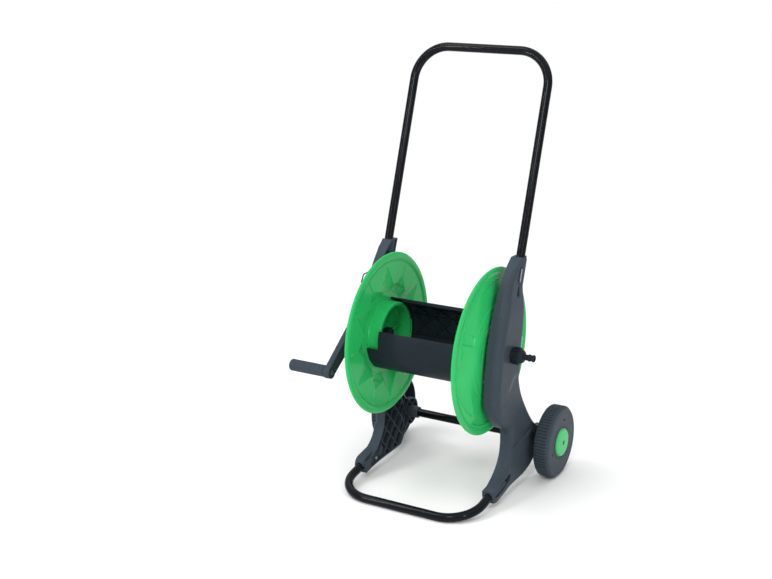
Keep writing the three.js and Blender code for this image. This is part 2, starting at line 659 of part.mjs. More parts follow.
function crankArm() {
  const along = crankEnd.clone().normalize();
  const across = new THREE.Vector2(-along.y, along.x);
  const corner = (distance, width) => along.clone().multiplyScalar(distance).addScaledVector(across, width);
  const link = new THREE.Shape([
    corner(0, ARM_HUB_RADIUS - 2), corner(0, -ARM_HUB_RADIUS + 2),
    corner(CRANK_RADIUS, -ARM_END_RADIUS + 1), corner(CRANK_RADIUS, ARM_END_RADIUS - 1)]);
  const keyStart = leftBossEnd + GAP;
  return cut(
    union(
      slab(link, -armIn, -CRANK_ARM_OUT),
      disc(armIn - 10, CRANK_ARM_OUT + 2.5, ARM_HUB_RADIUS, -1, MIDDLE_ROUND),
      disc(keyStart, armIn, CRANK_SHAFT_RADIUS, -1, MIDDLE_ROUND),
      disc(PANEL_OUTER_X + GAP + BUSH_LIP + 1, armIn, CRANK_SHAFT_RADIUS + 3, -1, MIDDLE_ROUND),
      disc(FLANGE_HUB_X, keyStart + 1, SHAFT_KEY_RADIUS, -1, 6),
      disc(FLANGE_HUB_X - SHAFT_STUB_LENGTH, FLANGE_HUB_X + 1, SHAFT_STUB_RADIUS, -1),
      rod([-armIn, crankEnd.x, crankEnd.y], [-CRANK_ARM_OUT - 1.5, crankEnd.x, crankEnd.y], ARM_END_RADIUS)),
    rod([-armIn + 1, crankEnd.x, crankEnd.y], [-GRIP_START - 1, crankEnd.x, crankEnd.y],
      GRIP_PIN_RADIUS + GAP));
}

function gripPin() {
  const at = [crankEnd.x, crankEnd.y];
  const tip = GRIP_START + GRIP_LENGTH - 10;
  return union(
    rod([-armIn + GAP, ...at], [-tip, ...at], GRIP_PIN_RADIUS),
    rod([-armIn + GAP, ...at], [-armIn + GAP + 2.5, ...at], GRIP_PIN_RADIUS + 2.5),
    rod([-tip, ...at], [-tip - 2.5, ...at], GRIP_PIN_RADIUS + 2));
}

function crankGrip() {
  const end = GRIP_START + GRIP_LENGTH;
  const bore = GRIP_PIN_RADIUS + RUNNING_GAP;
  const pocket = GRIP_PIN_RADIUS + 2 + RUNNING_GAP;
  const tip = end - 10;
  return turned([
    [GRIP_START, bore], [GRIP_START, GRIP_RADIUS - 1], [GRIP_START + 1.5, GRIP_RADIUS],
    [end - 3, GRIP_RADIUS], [end, GRIP_RADIUS - 3], [end, pocket], [tip - 1, pocket], [tip - 1, bore],
  ], -1, SMALL_ROUND, crankEnd.x, crankEnd.y);
}

function gripCap() {
  const end = GRIP_START + GRIP_LENGTH;
  const radius = GRIP_PIN_RADIUS + 2 + RUNNING_GAP - GAP;
  return turned([[end - 5, 0], [end - 5, radius], [end + 1, radius], [end + 1.5, 0]],
    -1, SMALL_ROUND, crankEnd.x, crankEnd.y);
}

// ---- wheels --------------------------------------------------------------------------------------

const wheelBore = tubeRadius + RUNNING_GAP;
const wheelWebOut = WHEEL_OUTER_X - 5.5;
const capSeat = CAP_RADIUS + GAP + 0.4;
const axleEnd = wheelWebOut + 2.8;

function wheel(side) {
  const web = wheelWebOut - WHEEL_WEB;
  const faceBack = WHEEL_OUTER_X - WHEEL_WEB;
  const rimBore = WHEEL_RADIUS - WHEEL_RIM;
  const hubStart = WHEEL_INNER_X + 1.8;
  const body = turned([
    [hubStart, wheelBore], [wheelWebOut, wheelBore], [wheelWebOut, capSeat], [WHEEL_OUTER_X, capSeat],
    [WHEEL_OUTER_X, WHEEL_RADIUS - 4.5], [WHEEL_OUTER_X - 4, WHEEL_RADIUS], [WHEEL_INNER_X + 3, WHEEL_RADIUS],
    [WHEEL_INNER_X, WHEEL_RADIUS - 3], [WHEEL_INNER_X, rimBore], [faceBack - 4, rimBore],
    [faceBack, rimBore - 3.5], [faceBack, capSeat + 3.5], [web, capSeat + 3.5], [web, WHEEL_HUB_RADIUS],
    [hubStart, WHEEL_HUB_RADIUS],
  ], side, ROUND);
  const ribs = Array.from({ length: WHEEL_RIBS }, (_, i) => {
    const geometry = new THREE.BoxGeometry(14, rimBore + 2 - WHEEL_HUB_RADIUS, 2.4);
    geometry.translate(side * (web - 6), (rimBore + WHEEL_HUB_RADIUS) / 2, 0);
    geometry.rotateX(2 * Math.PI * i / WHEEL_RIBS);
    return solid(geometry);
  });
  const slots = [105, 225, 345].map((degrees) => {
    const at = arcPoint(WHEEL_RADIUS * 0.62, degrees);
    return rod([side * (faceBack - 1), at.x, at.y], [side * (WHEEL_OUTER_X + 1), at.x, at.y], 2.6, 10);
  });
  return cut(union(body, ...ribs), ...slots);
}

function hubCap(side) {
  const face = WHEEL_OUTER_X + CAP_RISE;
  const inside = CAP_RADIUS - CAP_WALL;
  const shell = turned([
    [wheelWebOut + GAP, inside], [wheelWebOut + GAP, CAP_RADIUS], [WHEEL_OUTER_X + 1, CAP_RADIUS],
    [face, CAP_RADIUS - 5], [face, 0], [face - CAP_WALL, 0], [face - CAP_WALL, CAP_RADIUS - 6],
    [WHEEL_OUTER_X, inside],
  ], side, MIDDLE_ROUND);
  return cut(shell, disc(face - CAP_WALL - 1, face + 1, 3, side, SCREW_ROUND));
}

// ---- assembly ------------------------------------------------------------------------------------

const SIDES = [['left', -1], ['right', 1]];
const cart = new THREE.Group();

function place(parent, name, body, material) {
  const mesh = named(name, body, material);
  parent.add(mesh);
  return mesh;
}

// Frame tubes.
const handleCorners = [-HANDLE_SEAT, handleRise].map((along) => handlePoint(along));
const handleTube = bentTube([
  handleCorners[0], handleCorners[1],
  handlePoint(handleRise, -FRAME_TUBE_X), handlePoint(-HANDLE_SEAT, -FRAME_TUBE_X),
], HANDLE_BEND);
place(cart, 'handle_tube', cut(handleTube, ...clipHoles(-1, clipHole), ...clipHoles(1, clipHole)), blackTube);

const footTube = bentTube([
  footPoint(footEndAlong), footPoint(0), footPoint(0, -FRAME_TUBE_X), footPoint(footEndAlong, -FRAME_TUBE_X),
], FOOT_BEND, FOOT_TILT);
const footScrewHoles = SIDES.map(([, side]) => {
  const at = footPoint(footScrewAlong, 0);
  return rod([side * (footScrewSeat - 1), at.y, at.z], [side * FRAME_TUBE_X, at.y, at.z], boltHole, SCREW_ROUND);
});
place(cart, 'foot_tube', cut(footTube, ...footScrewHoles), blackTube);

// The panels: the crank side holds a plain bush, the inlet side holds the water stem and its bush.
function reelBore(side, x1, x2, radius) {
  return rod([side * x1, REEL_Y, REEL_Z], [side * x2, REEL_Y, REEL_Z], radius, MIDDLE_ROUND);
}

const crankBore = [reelBore(-1, PANEL_INNER_X - 2, PANEL_OUTER_X + 1, crankBushRadius + GAP)];
const inletBore = [
  reelBore(1, PANEL_INNER_X - 2, bushEnd, bushRadius + GAP),
  reelBore(1, PANEL_INNER_X, PANEL_OUTER_X + 1, INLET_THREAD_RADIUS + GAP),
];
const hookHole = rod(hookCorners[0].toArray(), hookCorners[1].toArray(), HOOK_WIRE / 2 + 2 * GAP, 8);
place(cart, 'left_panel', sidePanel(-1, [...crankBore, hookHole]), slatePlastic);
place(cart, 'right_panel', sidePanel(1, inletBore), slatePlastic);
place(cart, 'hose_hook', bentWire(hookCorners, 4, HOOK_WIRE), darkPlastic);

for (const [word, side] of SIDES) {
  place(cart, `handle_clip_${word}`, bentWire(clipCorners(side, CLIP_REACH), 3, CLIP_WIRE), brightSteel);
  const at = footPoint(footScrewAlong, 0);
  place(cart, `foot_screw_${word}`, union(
    rod([side * (footScrewSeat - SCREW_HEAD), at.y, at.z], [side * footScrewSeat, at.y, at.z],
      SCREW_HEAD_RADIUS, SCREW_ROUND),
    rod([side * (footScrewSeat - 0.5), at.y, at.z], [side * (FRAME_TUBE_X - 3), at.y, at.z],
      SCREW_RADIUS, SCREW_ROUND)), brightSteel);
}

// Wheels on the axle tube.
const axle = new THREE.Group();
axle.position.set(0, AXLE_Y, AXLE_Z);
cart.add(axle);
place(axle, 'axle_tube', ring(-axleEnd, axleEnd, tubeRadius - TUBE_WALL, tubeRadius), blackTube);
for (const [word, side] of SIDES) {
  place(axle, `wheel_${word}`, wheel(side), slatePlastic);
  place(axle, `hub_cap_${word}`, hubCap(side), greenPlastic);
  place(axle, `axle_ring_${word}`,
    ring(wheelWebOut + GAP, wheelWebOut + GAP + 1.5, tubeRadius + GAP, tubeRadius + 4, side), brightSteel);
}

// The reel and all that turns or stays still on its axis.
const reel = new THREE.Group();
reel.position.set(0, REEL_Y, REEL_Z);
cart.add(reel);
const keyHole = disc(FLANGE_HUB_X - 1, leftBossEnd + 1, SHAFT_KEY_RADIUS + GAP, -1, 6);
place(reel, 'flange_left', cut(flange(-1, SHAFT_KEY_RADIUS - 2, CRANK_SHAFT_RADIUS + 0.5), keyHole), greenPlastic);
place(reel, 'flange_right', flange(1, flangeBore, flangeBore + 4.5), greenPlastic);
place(reel, 'drum_plate_front', drumPlate(0), darkPlastic);
place(reel, 'drum_plate_rear', drumPlate(180), darkPlastic);
for (const [word, side] of SIDES) {
  place(reel, `drum_screw_front_${word}`, drumScrew(side, 0), brightSteel);
  place(reel, `drum_screw_rear_${word}`, drumScrew(side, 180), brightSteel);
}

const lip = PANEL_OUTER_X + GAP;
place(reel, 'crank_bush', turned([
  [leftBossEnd + GAP, crankBushBore], [leftBossEnd + GAP, crankBushRadius], [lip, crankBushRadius],
  [lip, crankBushRadius + 3.5], [lip + BUSH_LIP, crankBushRadius + 3.5], [lip + BUSH_LIP, crankBushBore],
], -1, MIDDLE_ROUND), darkPlastic);
place(reel, 'crank_arm', crankArm(), slatePlastic);
place(reel, 'crank_nut', cut(disc(FLANGE_HUB_X - SHAFT_STUB_LENGTH - 3, FLANGE_HUB_X - GAP, 12, -1, 6),
  disc(FLANGE_HUB_X - SHAFT_STUB_LENGTH - GAP, FLANGE_HUB_X, SHAFT_STUB_RADIUS + GAP, -1)), darkPlastic);
place(reel, 'grip_pin', gripPin(), brightSteel);
place(reel, 'crank_grip', crankGrip(), slatePlastic);
place(reel, 'grip_cap', gripCap(), slatePlastic);

place(reel, 'inlet_bush', ring(FLANGE_HUB_X + GAP, bushEnd - GAP, bushBore, bushRadius, 1, MIDDLE_ROUND), darkPlastic);
place(reel, 'inlet_stem', inletStem(), darkPlastic);
place(reel, 'inlet_connector', connector(1, PANEL_OUTER_X + 2 * GAP), darkPlastic);
place(reel, 'inlet_washer', ring(threadEnd + GAP, threadEnd + GAP + 1.4, NIPPLE_BORE + 1, INLET_THREAD_RADIUS - 0.3),
  blackRubber);
const spigotEnd = flangeBack - 2.5 - SPIGOT_LENGTH;
[spigotEnd + 6, spigotEnd + 13].forEach((x, i) => place(reel, `o_ring_${i + 1}`,
  ring(x, x + O_RING_SECTION, SPIGOT_RADIUS + GAP, SPIGOT_RADIUS + O_RING_SECTION), blackRubber));
place(reel, 'swivel_elbow', elbow(), darkPlastic);
const sleeveStart = ELBOW_X + INLET_THREAD_RADIUS + 1;
place(reel, 'lock_sleeve', turned([
  [sleeveStart, ELBOW_RADIUS + GAP], [sleeveStart, ELBOW_RADIUS + 3], [FLANGE_HUB_X - 3.5, ELBOW_RADIUS + 3],
  [FLANGE_HUB_X - 3.5, ELBOW_RADIUS + 9.5], [FLANGE_HUB_X - GAP, ELBOW_RADIUS + 9.5],
  [FLANGE_HUB_X - GAP, ELBOW_RADIUS + GAP]]), darkPlastic);
const hoseNutStart = ELBOW_REACH - INLET_THREAD_LENGTH + 2 * GAP;
reel.add(alongOutlet(named('hose_connector', connector(1, hoseNutStart), darkPlastic)));
reel.add(alongOutlet(named('hose_washer',
  ring(ELBOW_REACH + GAP, ELBOW_REACH + GAP + 1.4, NIPPLE_BORE + 1, INLET_THREAD_RADIUS - 0.3), blackRubber)));

export default cart;
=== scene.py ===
"""Looks of the garden hose reel cart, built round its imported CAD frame.

Shapes are in millimetres in the frame's own axes: X from the crank side to the water inlet side, Y to
the rear, Z up. Meshes are scaled to metres as they are made. The lights and the camera are in metres.
"""

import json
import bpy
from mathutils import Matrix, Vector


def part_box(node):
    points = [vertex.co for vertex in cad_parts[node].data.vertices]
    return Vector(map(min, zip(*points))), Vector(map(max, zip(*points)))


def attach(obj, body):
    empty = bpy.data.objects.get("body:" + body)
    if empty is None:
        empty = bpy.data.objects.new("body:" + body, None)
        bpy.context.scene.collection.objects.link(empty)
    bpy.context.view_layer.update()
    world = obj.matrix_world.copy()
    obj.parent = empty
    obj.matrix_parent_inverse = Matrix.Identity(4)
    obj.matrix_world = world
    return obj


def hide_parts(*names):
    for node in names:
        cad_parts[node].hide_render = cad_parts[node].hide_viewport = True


bl_info = {
    "name": "Hose Reel Cart",
    "version": (1, 0, 0),
    "blender": (4, 5, 0),
    "location": "View3D > Sidebar > Hose Cart",
    "description": "Builds a garden hose reel cart round its packed frame",
    "category": "Object",
}

from math import acos, atan2, cos, degrees, pi, radians, sin, sqrt, tan

import bpy
import numpy as np
from bpy.props import FloatProperty, FloatVectorProperty, IntProperty, PointerProperty
from mathutils import Euler, Matrix, Vector
from mathutils.geometry import delaunay_2d_cdt

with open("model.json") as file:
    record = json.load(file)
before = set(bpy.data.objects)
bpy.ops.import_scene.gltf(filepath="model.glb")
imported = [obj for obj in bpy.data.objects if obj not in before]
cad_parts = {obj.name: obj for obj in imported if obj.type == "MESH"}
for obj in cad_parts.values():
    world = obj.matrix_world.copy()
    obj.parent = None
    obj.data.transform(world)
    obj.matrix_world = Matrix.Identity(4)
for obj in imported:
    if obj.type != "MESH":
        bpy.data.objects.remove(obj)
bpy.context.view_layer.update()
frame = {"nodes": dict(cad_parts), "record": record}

MM = 0.001


# ---- places read from the frame ------------------------------------------------------------------


def span(node):
    """Lowest and highest corners of a CAD node, in millimetres."""
    low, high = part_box(node)
    return np.array(low) / MM, np.array(high) / MM


def middle(node):
    low, high = span(node)
    return (low + high) / 2


REEL = middle("flange_left")
REEL_Y, REEL_Z = REEL[1], REEL[2]
AXLE = middle("wheel_left")
AXLE_Y, AXLE_Z = AXLE[1], AXLE[2]
GRIP = middle("crank_grip")
TUBE_RADIUS = 9.0
TUBE_WALL = 1.2
LEG_X = span("handle_tube")[1][0] - TUBE_RADIUS
HANDLE_TOP_Z = span("handle_tube")[1][2] - TUBE_RADIUS
PANEL_OUTER = span("right_panel")[1][0]
PANEL_DEPTH = 30
PANEL_INNER = PANEL_OUTER - PANEL_DEPTH
FLANGE_RADIUS = (span("flange_left")[1] - span("flange_left")[0])[2] / 2
WHEEL_RADIUS = (span("wheel_left")[1] - span("wheel_left")[0])[2] / 2
WHEEL_IN, WHEEL_OUT = span("wheel_right")[0][0], span("wheel_right")[1][0]

LEAN = radians(18.4)
SOCKET_TOP = (216.0, 495.0)
HANDLE_SEAT = 52.0
TILT = radians(10.5)
FOOT_SOCKET_Y = 95.0
FOOT_SHOWN_SEAT = 56.0
TUBE_BEND = 70.0
SOCKET_RADIUS = 13.5


def handle_point(along, x=None):
    """A point on the handle's leg, measured up along the leg from the socket's top."""
    x = LEG_X if x is None else x
    return np.array([x, SOCKET_TOP[0] + along * sin(LEAN), SOCKET_TOP[1] + along * cos(LEAN)])


def foot_point(along, x=None):
    """A point on the foot's leg, measured back along the leg from the front bar."""
    x = LEG_X if x is None else x
    return np.array([x, along * cos(TILT), TUBE_RADIUS + along * sin(TILT)])


def reel_point(radius, angle, x=0.0):
    """A point round the reel's axis. Angle 0 is to the front and 90 up, in degrees."""
    return np.array([x, REEL_Y - radius * cos(radians(angle)), REEL_Z + radius * sin(radians(angle))])


# ---- user settings -------------------------------------------------------------------------------


def colour(name, description, default):
    return FloatVectorProperty(
        name=name, description=description, subtype="COLOR", size=3, min=0, max=1, default=default)


def measure(name, description, default, low=0.0, high=500.0):
    return FloatProperty(
        name=name, description=description, default=default, min=low, max=high)


class CartFinishes(bpy.types.PropertyGroup):
    slate: colour("Slate plastic", "Side panels, wheels and crank", (0.042, 0.055, 0.070))
    dark: colour("Dark plastic", "Drum plates and water fittings", (0.014, 0.020, 0.026))
    green: colour("Green plastic", "Reel flanges", (0.022, 0.425, 0.112))
    cap_green: colour("Cap green", "Hub caps", (0.075, 0.500, 0.170))
    tube: colour("Tube paint", "Handle, foot and axle tubes", (0.0045, 0.0055, 0.0075))
    steel: colour("Bright steel", "Clips and screws", (0.40, 0.42, 0.44))
    rubber: colour("Rubber", "Seals and washers", (0.012, 0.012, 0.012))


class CartPanels(bpy.types.PropertyGroup):
    wall: measure("Wall", "Wall thickness of the side panels, mm", 3.0, 1, 8)
    front_round: measure(
        "Front rounding", "Edge radius along the front of the guard, mm", 19.0, 2, 24)
    leg_round: measure("Leg rounding", "Edge radius along the front of the leg, mm", 12.0, 2, 18)
    rear_round: measure("Rear rounding", "Edge radius along the rear and the bottom, mm", 3.5, 0.5, 8)
    rib_spacing: measure("Rib spacing", "Distance between the lattice ribs inside, mm", 27.0, 10, 80)
    rib_thickness: measure("Rib thickness", "Thickness of the lattice ribs, mm", 1.5, 0.8, 4)
    mesh_step: measure("Mesh step", "Spacing of the panel's mesh, mm", 3.2, 2, 10)


class CartReel(bpy.types.PropertyGroup):
    facets: IntProperty(
        name="Facets", description="Facets round a flange", default=360, min=48, max=720)
    star_depth: measure("Star depth", "Depth of the star pressed into a flange, mm", 10.0, 0, 12)
    sector_step: measure("Sector step", "Step between neighbouring sectors, mm", 1.0, 0, 2)
    drum_rib: measure("Drum rib", "Thickness of the ribs inside the drum plates, mm", 1.5, 0.8, 4)


class CartWheels(bpy.types.PropertyGroup):
    ribs: IntProperty(
        name="Tread ribs", description="Ribs round a tyre", default=72, min=12, max=180)
    rib_depth: measure("Tread depth", "Depth of the grooves between the ribs, mm", 2.0, 0, 4)
    spokes: IntProperty(
        name="Inner ribs", description="Ribs on the inner side", default=6, min=3, max=24)


class CartStage(bpy.types.PropertyGroup):
    floor: colour("Floor", "Colour of the plain floor", (0.90, 0.90, 0.90))
    key: measure("Key light", "Power of the front light, W", 24.0, 0, 2000)
    strip: measure("Strip light", "Power of each narrow light, W", 9.0, 0, 2000)
    sky: measure("Overhead light", "Strength of the light from above", 0.86, 0, 10)


# ---- shapes: points in millimetres and faces -----------------------------------------------------


def joined(*shapes):
    """Several shapes as one, without cutting them."""
    points, faces, start = [], [], 0
    for shape_points, shape_faces in shapes:
        points.append(np.asarray(shape_points, float))
        faces += [[i + start for i in face] for face in shape_faces]
        start += len(shape_points)
    return np.vstack(points), faces


def mirrored(shape):
    points, faces = shape
    return points * np.array([-1.0, 1.0, 1.0]), [face[::-1] for face in faces]


def placed(shape, offset):
    points, faces = shape
    return points + np.array(offset), faces


def moved(shape, matrix):
    points, faces = shape
    turned_points = points @ np.array(matrix.to_3x3()).T + np.array(matrix.to_translation())
    return turned_points, faces


def turned(profile, segments=96, centre=(0.0, 0.0), wave=None):
    """A profile of (x, radius) turned round an axis along X. Wave gives the shift along X and the
    radius at every angle, from a point's number in the profile, its x, its radius and the angles."""
    angles = np.arange(segments) * 2 * pi / segments
    points, rows = [], []
    for number, (x, radius) in enumerate(profile):
        if radius < 1e-6:
            rows.append([len(points)])
            points.append((x, centre[0], centre[1]))
            continue
        offsets, radii = wave(number, x, radius, angles) if wave else (0.0, radius)
        offsets, radii = np.broadcast_to(offsets, segments), np.broadcast_to(radii, segments)
        rows.append(list(range(len(points), len(points) + segments)))
        points += [
            (x + offset, centre[0] - r * cos(a), centre[1] + r * sin(a))
            for a, r, offset in zip(angles, radii, offsets)]
    pairs = list(zip(rows, rows[1:]))
    if len(rows[0]) > 1 and len(rows[-1]) > 1:
        pairs.append((rows[-1], rows[0]))
    faces = []
    for first, second in pairs:
        if len(first) == len(second) == 1:
            continue
        for i in range(segments):
            j = (i + 1) % segments
            if len(first) == 1:
                faces.append([first[0], second[i], second[j]])
            elif len(second) == 1:
                faces.append([first[i], second[0], first[j]])
            else:
                faces.append([first[i], second[i], second[j], first[j]])
    return outward((np.array(points, float), faces))


def outward(shape):
    """The shape with its faces pointing out, judged by its volume."""
    points, faces = shape
    volume = 0.0
    for face in faces:
        a = points[face[0]]
        for i in range(1, len(face) - 1):
            volume += np.dot(a, np.cross(points[face[i]], points[face[i + 1]]))
    return shape if volume > 0 else (points, [face[::-1] for face in faces])


def softened(profile, radius, steps=3):
    """A profile with its corners rounded, apart from its two ends and corners that hardly turn."""
    points = [np.array(p, float) for p in profile]
    count = len(points)
    result = []
    for i, p in enumerate(points):
        if i in (0, count - 1):
            result.append(tuple(p))
            continue
        before, after = points[i - 1] - p, points[i + 1] - p
        reach_before, reach_after = np.linalg.norm(before), np.linalg.norm(after)
        if min(reach_before, reach_after) < 1e-6:
            result.append(tuple(p))
            continue
        before, after = before / reach_before, after / reach_after
        opening = acos(max(-1.0, min(1.0, float(np.dot(before, after)))))
        if opening > radians(168) or opening < radians(8):
            result.append(tuple(p))
            continue
        cut = min(radius / tan(opening / 2), 0.45 * reach_before, 0.45 * reach_after)
        start, end = p + before * cut, p + after * cut
        for step in range(steps + 1):
            t = step / steps
            result.append(tuple((1 - t) ** 2 * start + 2 * t * (1 - t) * p + t * t * end))
    return result


def bend_line(corners, bend, steps=16):
    """Points along straight runs joined by round bends."""
    corners = [np.array(c, float) for c in corners]
    points = [corners[0]]
    for before, corner, after in zip(corners, corners[1:], corners[2:]):
        arriving = (corner - before) / np.linalg.norm(corner - before)
        leaving = (after - corner) / np.linalg.norm(after - corner)
        turn = acos(max(-1.0, min(1.0, float(np.dot(arriving, leaving)))))
        start = corner - arriving * bend * tan(turn / 2)
        inward = leaving - arriving * np.dot(leaving, arriving)
        inward /= np.linalg.norm(inward)
        for step in range(steps + 1):
            a = turn * step / steps
            points.append(start + arriving * bend * sin(a) + inward * bend * (1 - cos(a)))
    points.append(corners[-1])
    return points


def swept(points, radius, sides=32, bore=None):
    """A round bar along points, or a pipe if it has a bore."""
    points = [np.array(p, float) for p in points]
    tangents = []
    for i in range(len(points)):
        ahead = points[min(i + 1, len(points) - 1)] - points[max(i - 1, 0)]
        tangents.append(ahead / np.linalg.norm(ahead))
    side = np.cross(tangents[0], [0.0, 0.0, 1.0])
    if np.linalg.norm(side) < 1e-3:
        side = np.cross(tangents[0], [0.0, 1.0, 0.0])
    radii = [radius] if bore is None else [radius, bore]
    angles = np.arange(sides) * 2 * pi / sides
    rings, verts = [], []
    for point, tangent in zip(points, tangents):
        side = side - tangent * np.dot(side, tangent)
        side /= np.linalg.norm(side)
        up = np.cross(tangent, side)
        for r in radii:
            rings.append(len(verts))
            verts += [point + r * (cos(a) * side + sin(a) * up) for a in angles]
    faces = []

    def band(first, second, flip):
        for i in range(sides):
            j = (i + 1) % sides
            face = [first + i, first + j, second + j, second + i]
            faces.append(face[::-1] if flip else face)

    layers = len(radii)
    for i in range(len(points) - 1):
        band(rings[i * layers], rings[(i + 1) * layers], True)
        if layers == 2:
            band(rings[i * layers + 1], rings[(i + 1) * layers + 1], False)
    if layers == 2:
        band(rings[0], rings[1], False)
        band(rings[-2], rings[-1], True)
    else:
        faces.append(list(range(rings[0], rings[0] + sides)))
        faces.append(list(range(rings[-1], rings[-1] + sides))[::-1])
    return outward((np.array(verts), faces))


def bar(start, end, radius, sides=48):
    return swept([start, end], radius, sides)


def inset(outline, distance):
    """An outline moved in along each corner's bisector. It runs anticlockwise."""
    points = np.asarray(outline, float)
    before = points - np.roll(points, 1, axis=0)
    after = np.roll(points, -1, axis=0) - points
    before /= np.linalg.norm(before, axis=1)[:, None]
    after /= np.linalg.norm(after, axis=1)[:, None]
    normal = np.stack([-before[:, 1] - after[:, 1], before[:, 0] + after[:, 0]], axis=1)
    size = (normal ** 2).sum(axis=1)[:, None]
    return points + normal * 2 * distance / np.maximum(size, 0.6)


def runs_clockwise(points):
    following = np.roll(points, -1, axis=0)
    area = (points[:, 0] * following[:, 1] - following[:, 0] * points[:, 1]).sum()
    return area <= 0


def anticlockwise(outline):
    points = np.asarray(outline, float)
    return points[::-1] if runs_clockwise(points) else points


def prism(outline, x1, x2, edge=0.0, steps=3):
    """An outline in Y and Z, extruded along X, with its rims rounded by `edge`."""
    outline = anticlockwise(outline)
    low, high = min(x1, x2), max(x1, x2)
    if edge > 0:
        arc = [k * pi / 2 / steps for k in range(steps + 1)]
        layers = [(low + edge * (1 - sin(a)), edge * (1 - cos(a))) for a in arc[::-1]]
        layers += [(high - edge * (1 - sin(a)), edge * (1 - cos(a))) for a in arc]
    else:
        layers = [(low, 0.0), (high, 0.0)]
    count = len(outline)
    points, faces = [], []
    for x, shrink in layers:
        ring = inset(outline, shrink) if shrink > 1e-9 else outline
        points += [(x, y, z) for y, z in ring]
    for layer in range(len(layers) - 1):
        a, b = layer * count, (layer + 1) * count
        for i in range(count):
            j = (i + 1) % count
            faces.append([a + i, a + j, b + j, b + i])
    faces.append(list(range(count))[::-1])
    faces.append(list(range((len(layers) - 1) * count, len(layers) * count)))
    return outward((np.array(points, float), faces))


def block(x1, x2, y1, y2, z1, z2):
    return prism([(y1, z1), (y2, z1), (y2, z2), (y1, z2)], x1, x2)


def capsule(start, end, radius, steps=14):
    """An outline with round ends round a line in Y and Z."""
    start, end = np.array(start, float), np.array(end, float)
    heading = atan2(*(end - start)[::-1])
    points = []
    for centre, first in ((end, heading - pi / 2), (start, heading + pi / 2)):
        for step in range(steps + 1):
            a = first + pi * step / steps
            points.append(centre + radius * np.array([cos(a), sin(a)]))
    return points


def square_bar(rings):
    """A four-sided bar through a row of rings, each of four corners."""
    points = [corner for ring in rings for corner in ring]
    faces = []
    count = len(rings)
    for k in range(count - 1):
        for i in range(4):
            j = (i + 1) % 4
            faces.append([4 * k + i, 4 * k + j, 4 * k + 4 + j, 4 * k + 4 + i])
    faces.append([3, 2, 1, 0])
    last = 4 * (count - 1)
    faces.append([last, last + 1, last + 2, last + 3])
    return outward((np.array(points, float), faces))


# ---- from shapes to Blender objects --------------------------------------------------------------


def as_mesh(name, shape):
    points, faces = shape
    mesh = bpy.data.meshes.new(name)
    mesh.from_pydata((np.asarray(points) * MM).tolist(), [], faces)
    mesh.update()
    return mesh


def cut_shape(base, steps):
    """A shape after a row of joins and cuts, each given as ("UNION" or "DIFFERENCE", shape)."""
    helpers = [bpy.data.objects.new("cut_base", as_mesh("cut_base", base))]
    bpy.context.scene.collection.objects.link(helpers[0])
    for operation, tool in steps:
        helper = bpy.data.objects.new("cut_tool", as_mesh("cut_tool", tool))
        bpy.context.scene.collection.objects.link(helper)
        helpers.append(helper)
        modifier = helpers[0].modifiers.new("cut", "BOOLEAN")
        modifier.operation = operation
        modifier.solver = "MANIFOLD"
        modifier.object = helper
    depsgraph = bpy.context.evaluated_depsgraph_get()
    mesh = bpy.data.meshes.new_from_object(helpers[0].evaluated_get(depsgraph))
    count = len(mesh.vertices)
    if count == 0:
        raise RuntimeError("a join or cut left nothing")
    points = np.empty(count * 3)
    mesh.vertices.foreach_get("co", points)
    faces = [list(polygon.vertices) for polygon in mesh.polygons]
    bpy.data.meshes.remove(mesh)
    for helper in helpers:
        data = helper.data
        bpy.data.objects.remove(helper)
        bpy.data.meshes.remove(data)
    return points.reshape(-1, 3) / MM, faces


def piece(name, shape, slot, body, node, sharp=32):
    """A finished piece: its mesh, the material looked up by its slot name, its body, and the CAD node
    it stands for, which is hidden. Edges that turn by more than `sharp` degrees are shaded sharp."""
    mesh = as_mesh(name, shape)
    mesh.polygons.foreach_set("use_smooth", [True] * len(mesh.polygons))
    mesh.set_sharp_from_angle(angle=radians(sharp))
    mesh.materials.append(finishes()[slot])
    made = bpy.data.objects.new(name, mesh)
    bpy.context.scene.collection.objects.link(made)
    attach(made, body)
    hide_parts(node)


def both_sides(right, left=None):
    """The inlet side's shape as it is, and the crank side's as a mirror of it or of another shape."""
    return ("right", right), ("left", mirrored(left or right))


# ---- finishes ------------------------------------------------------------------------------------


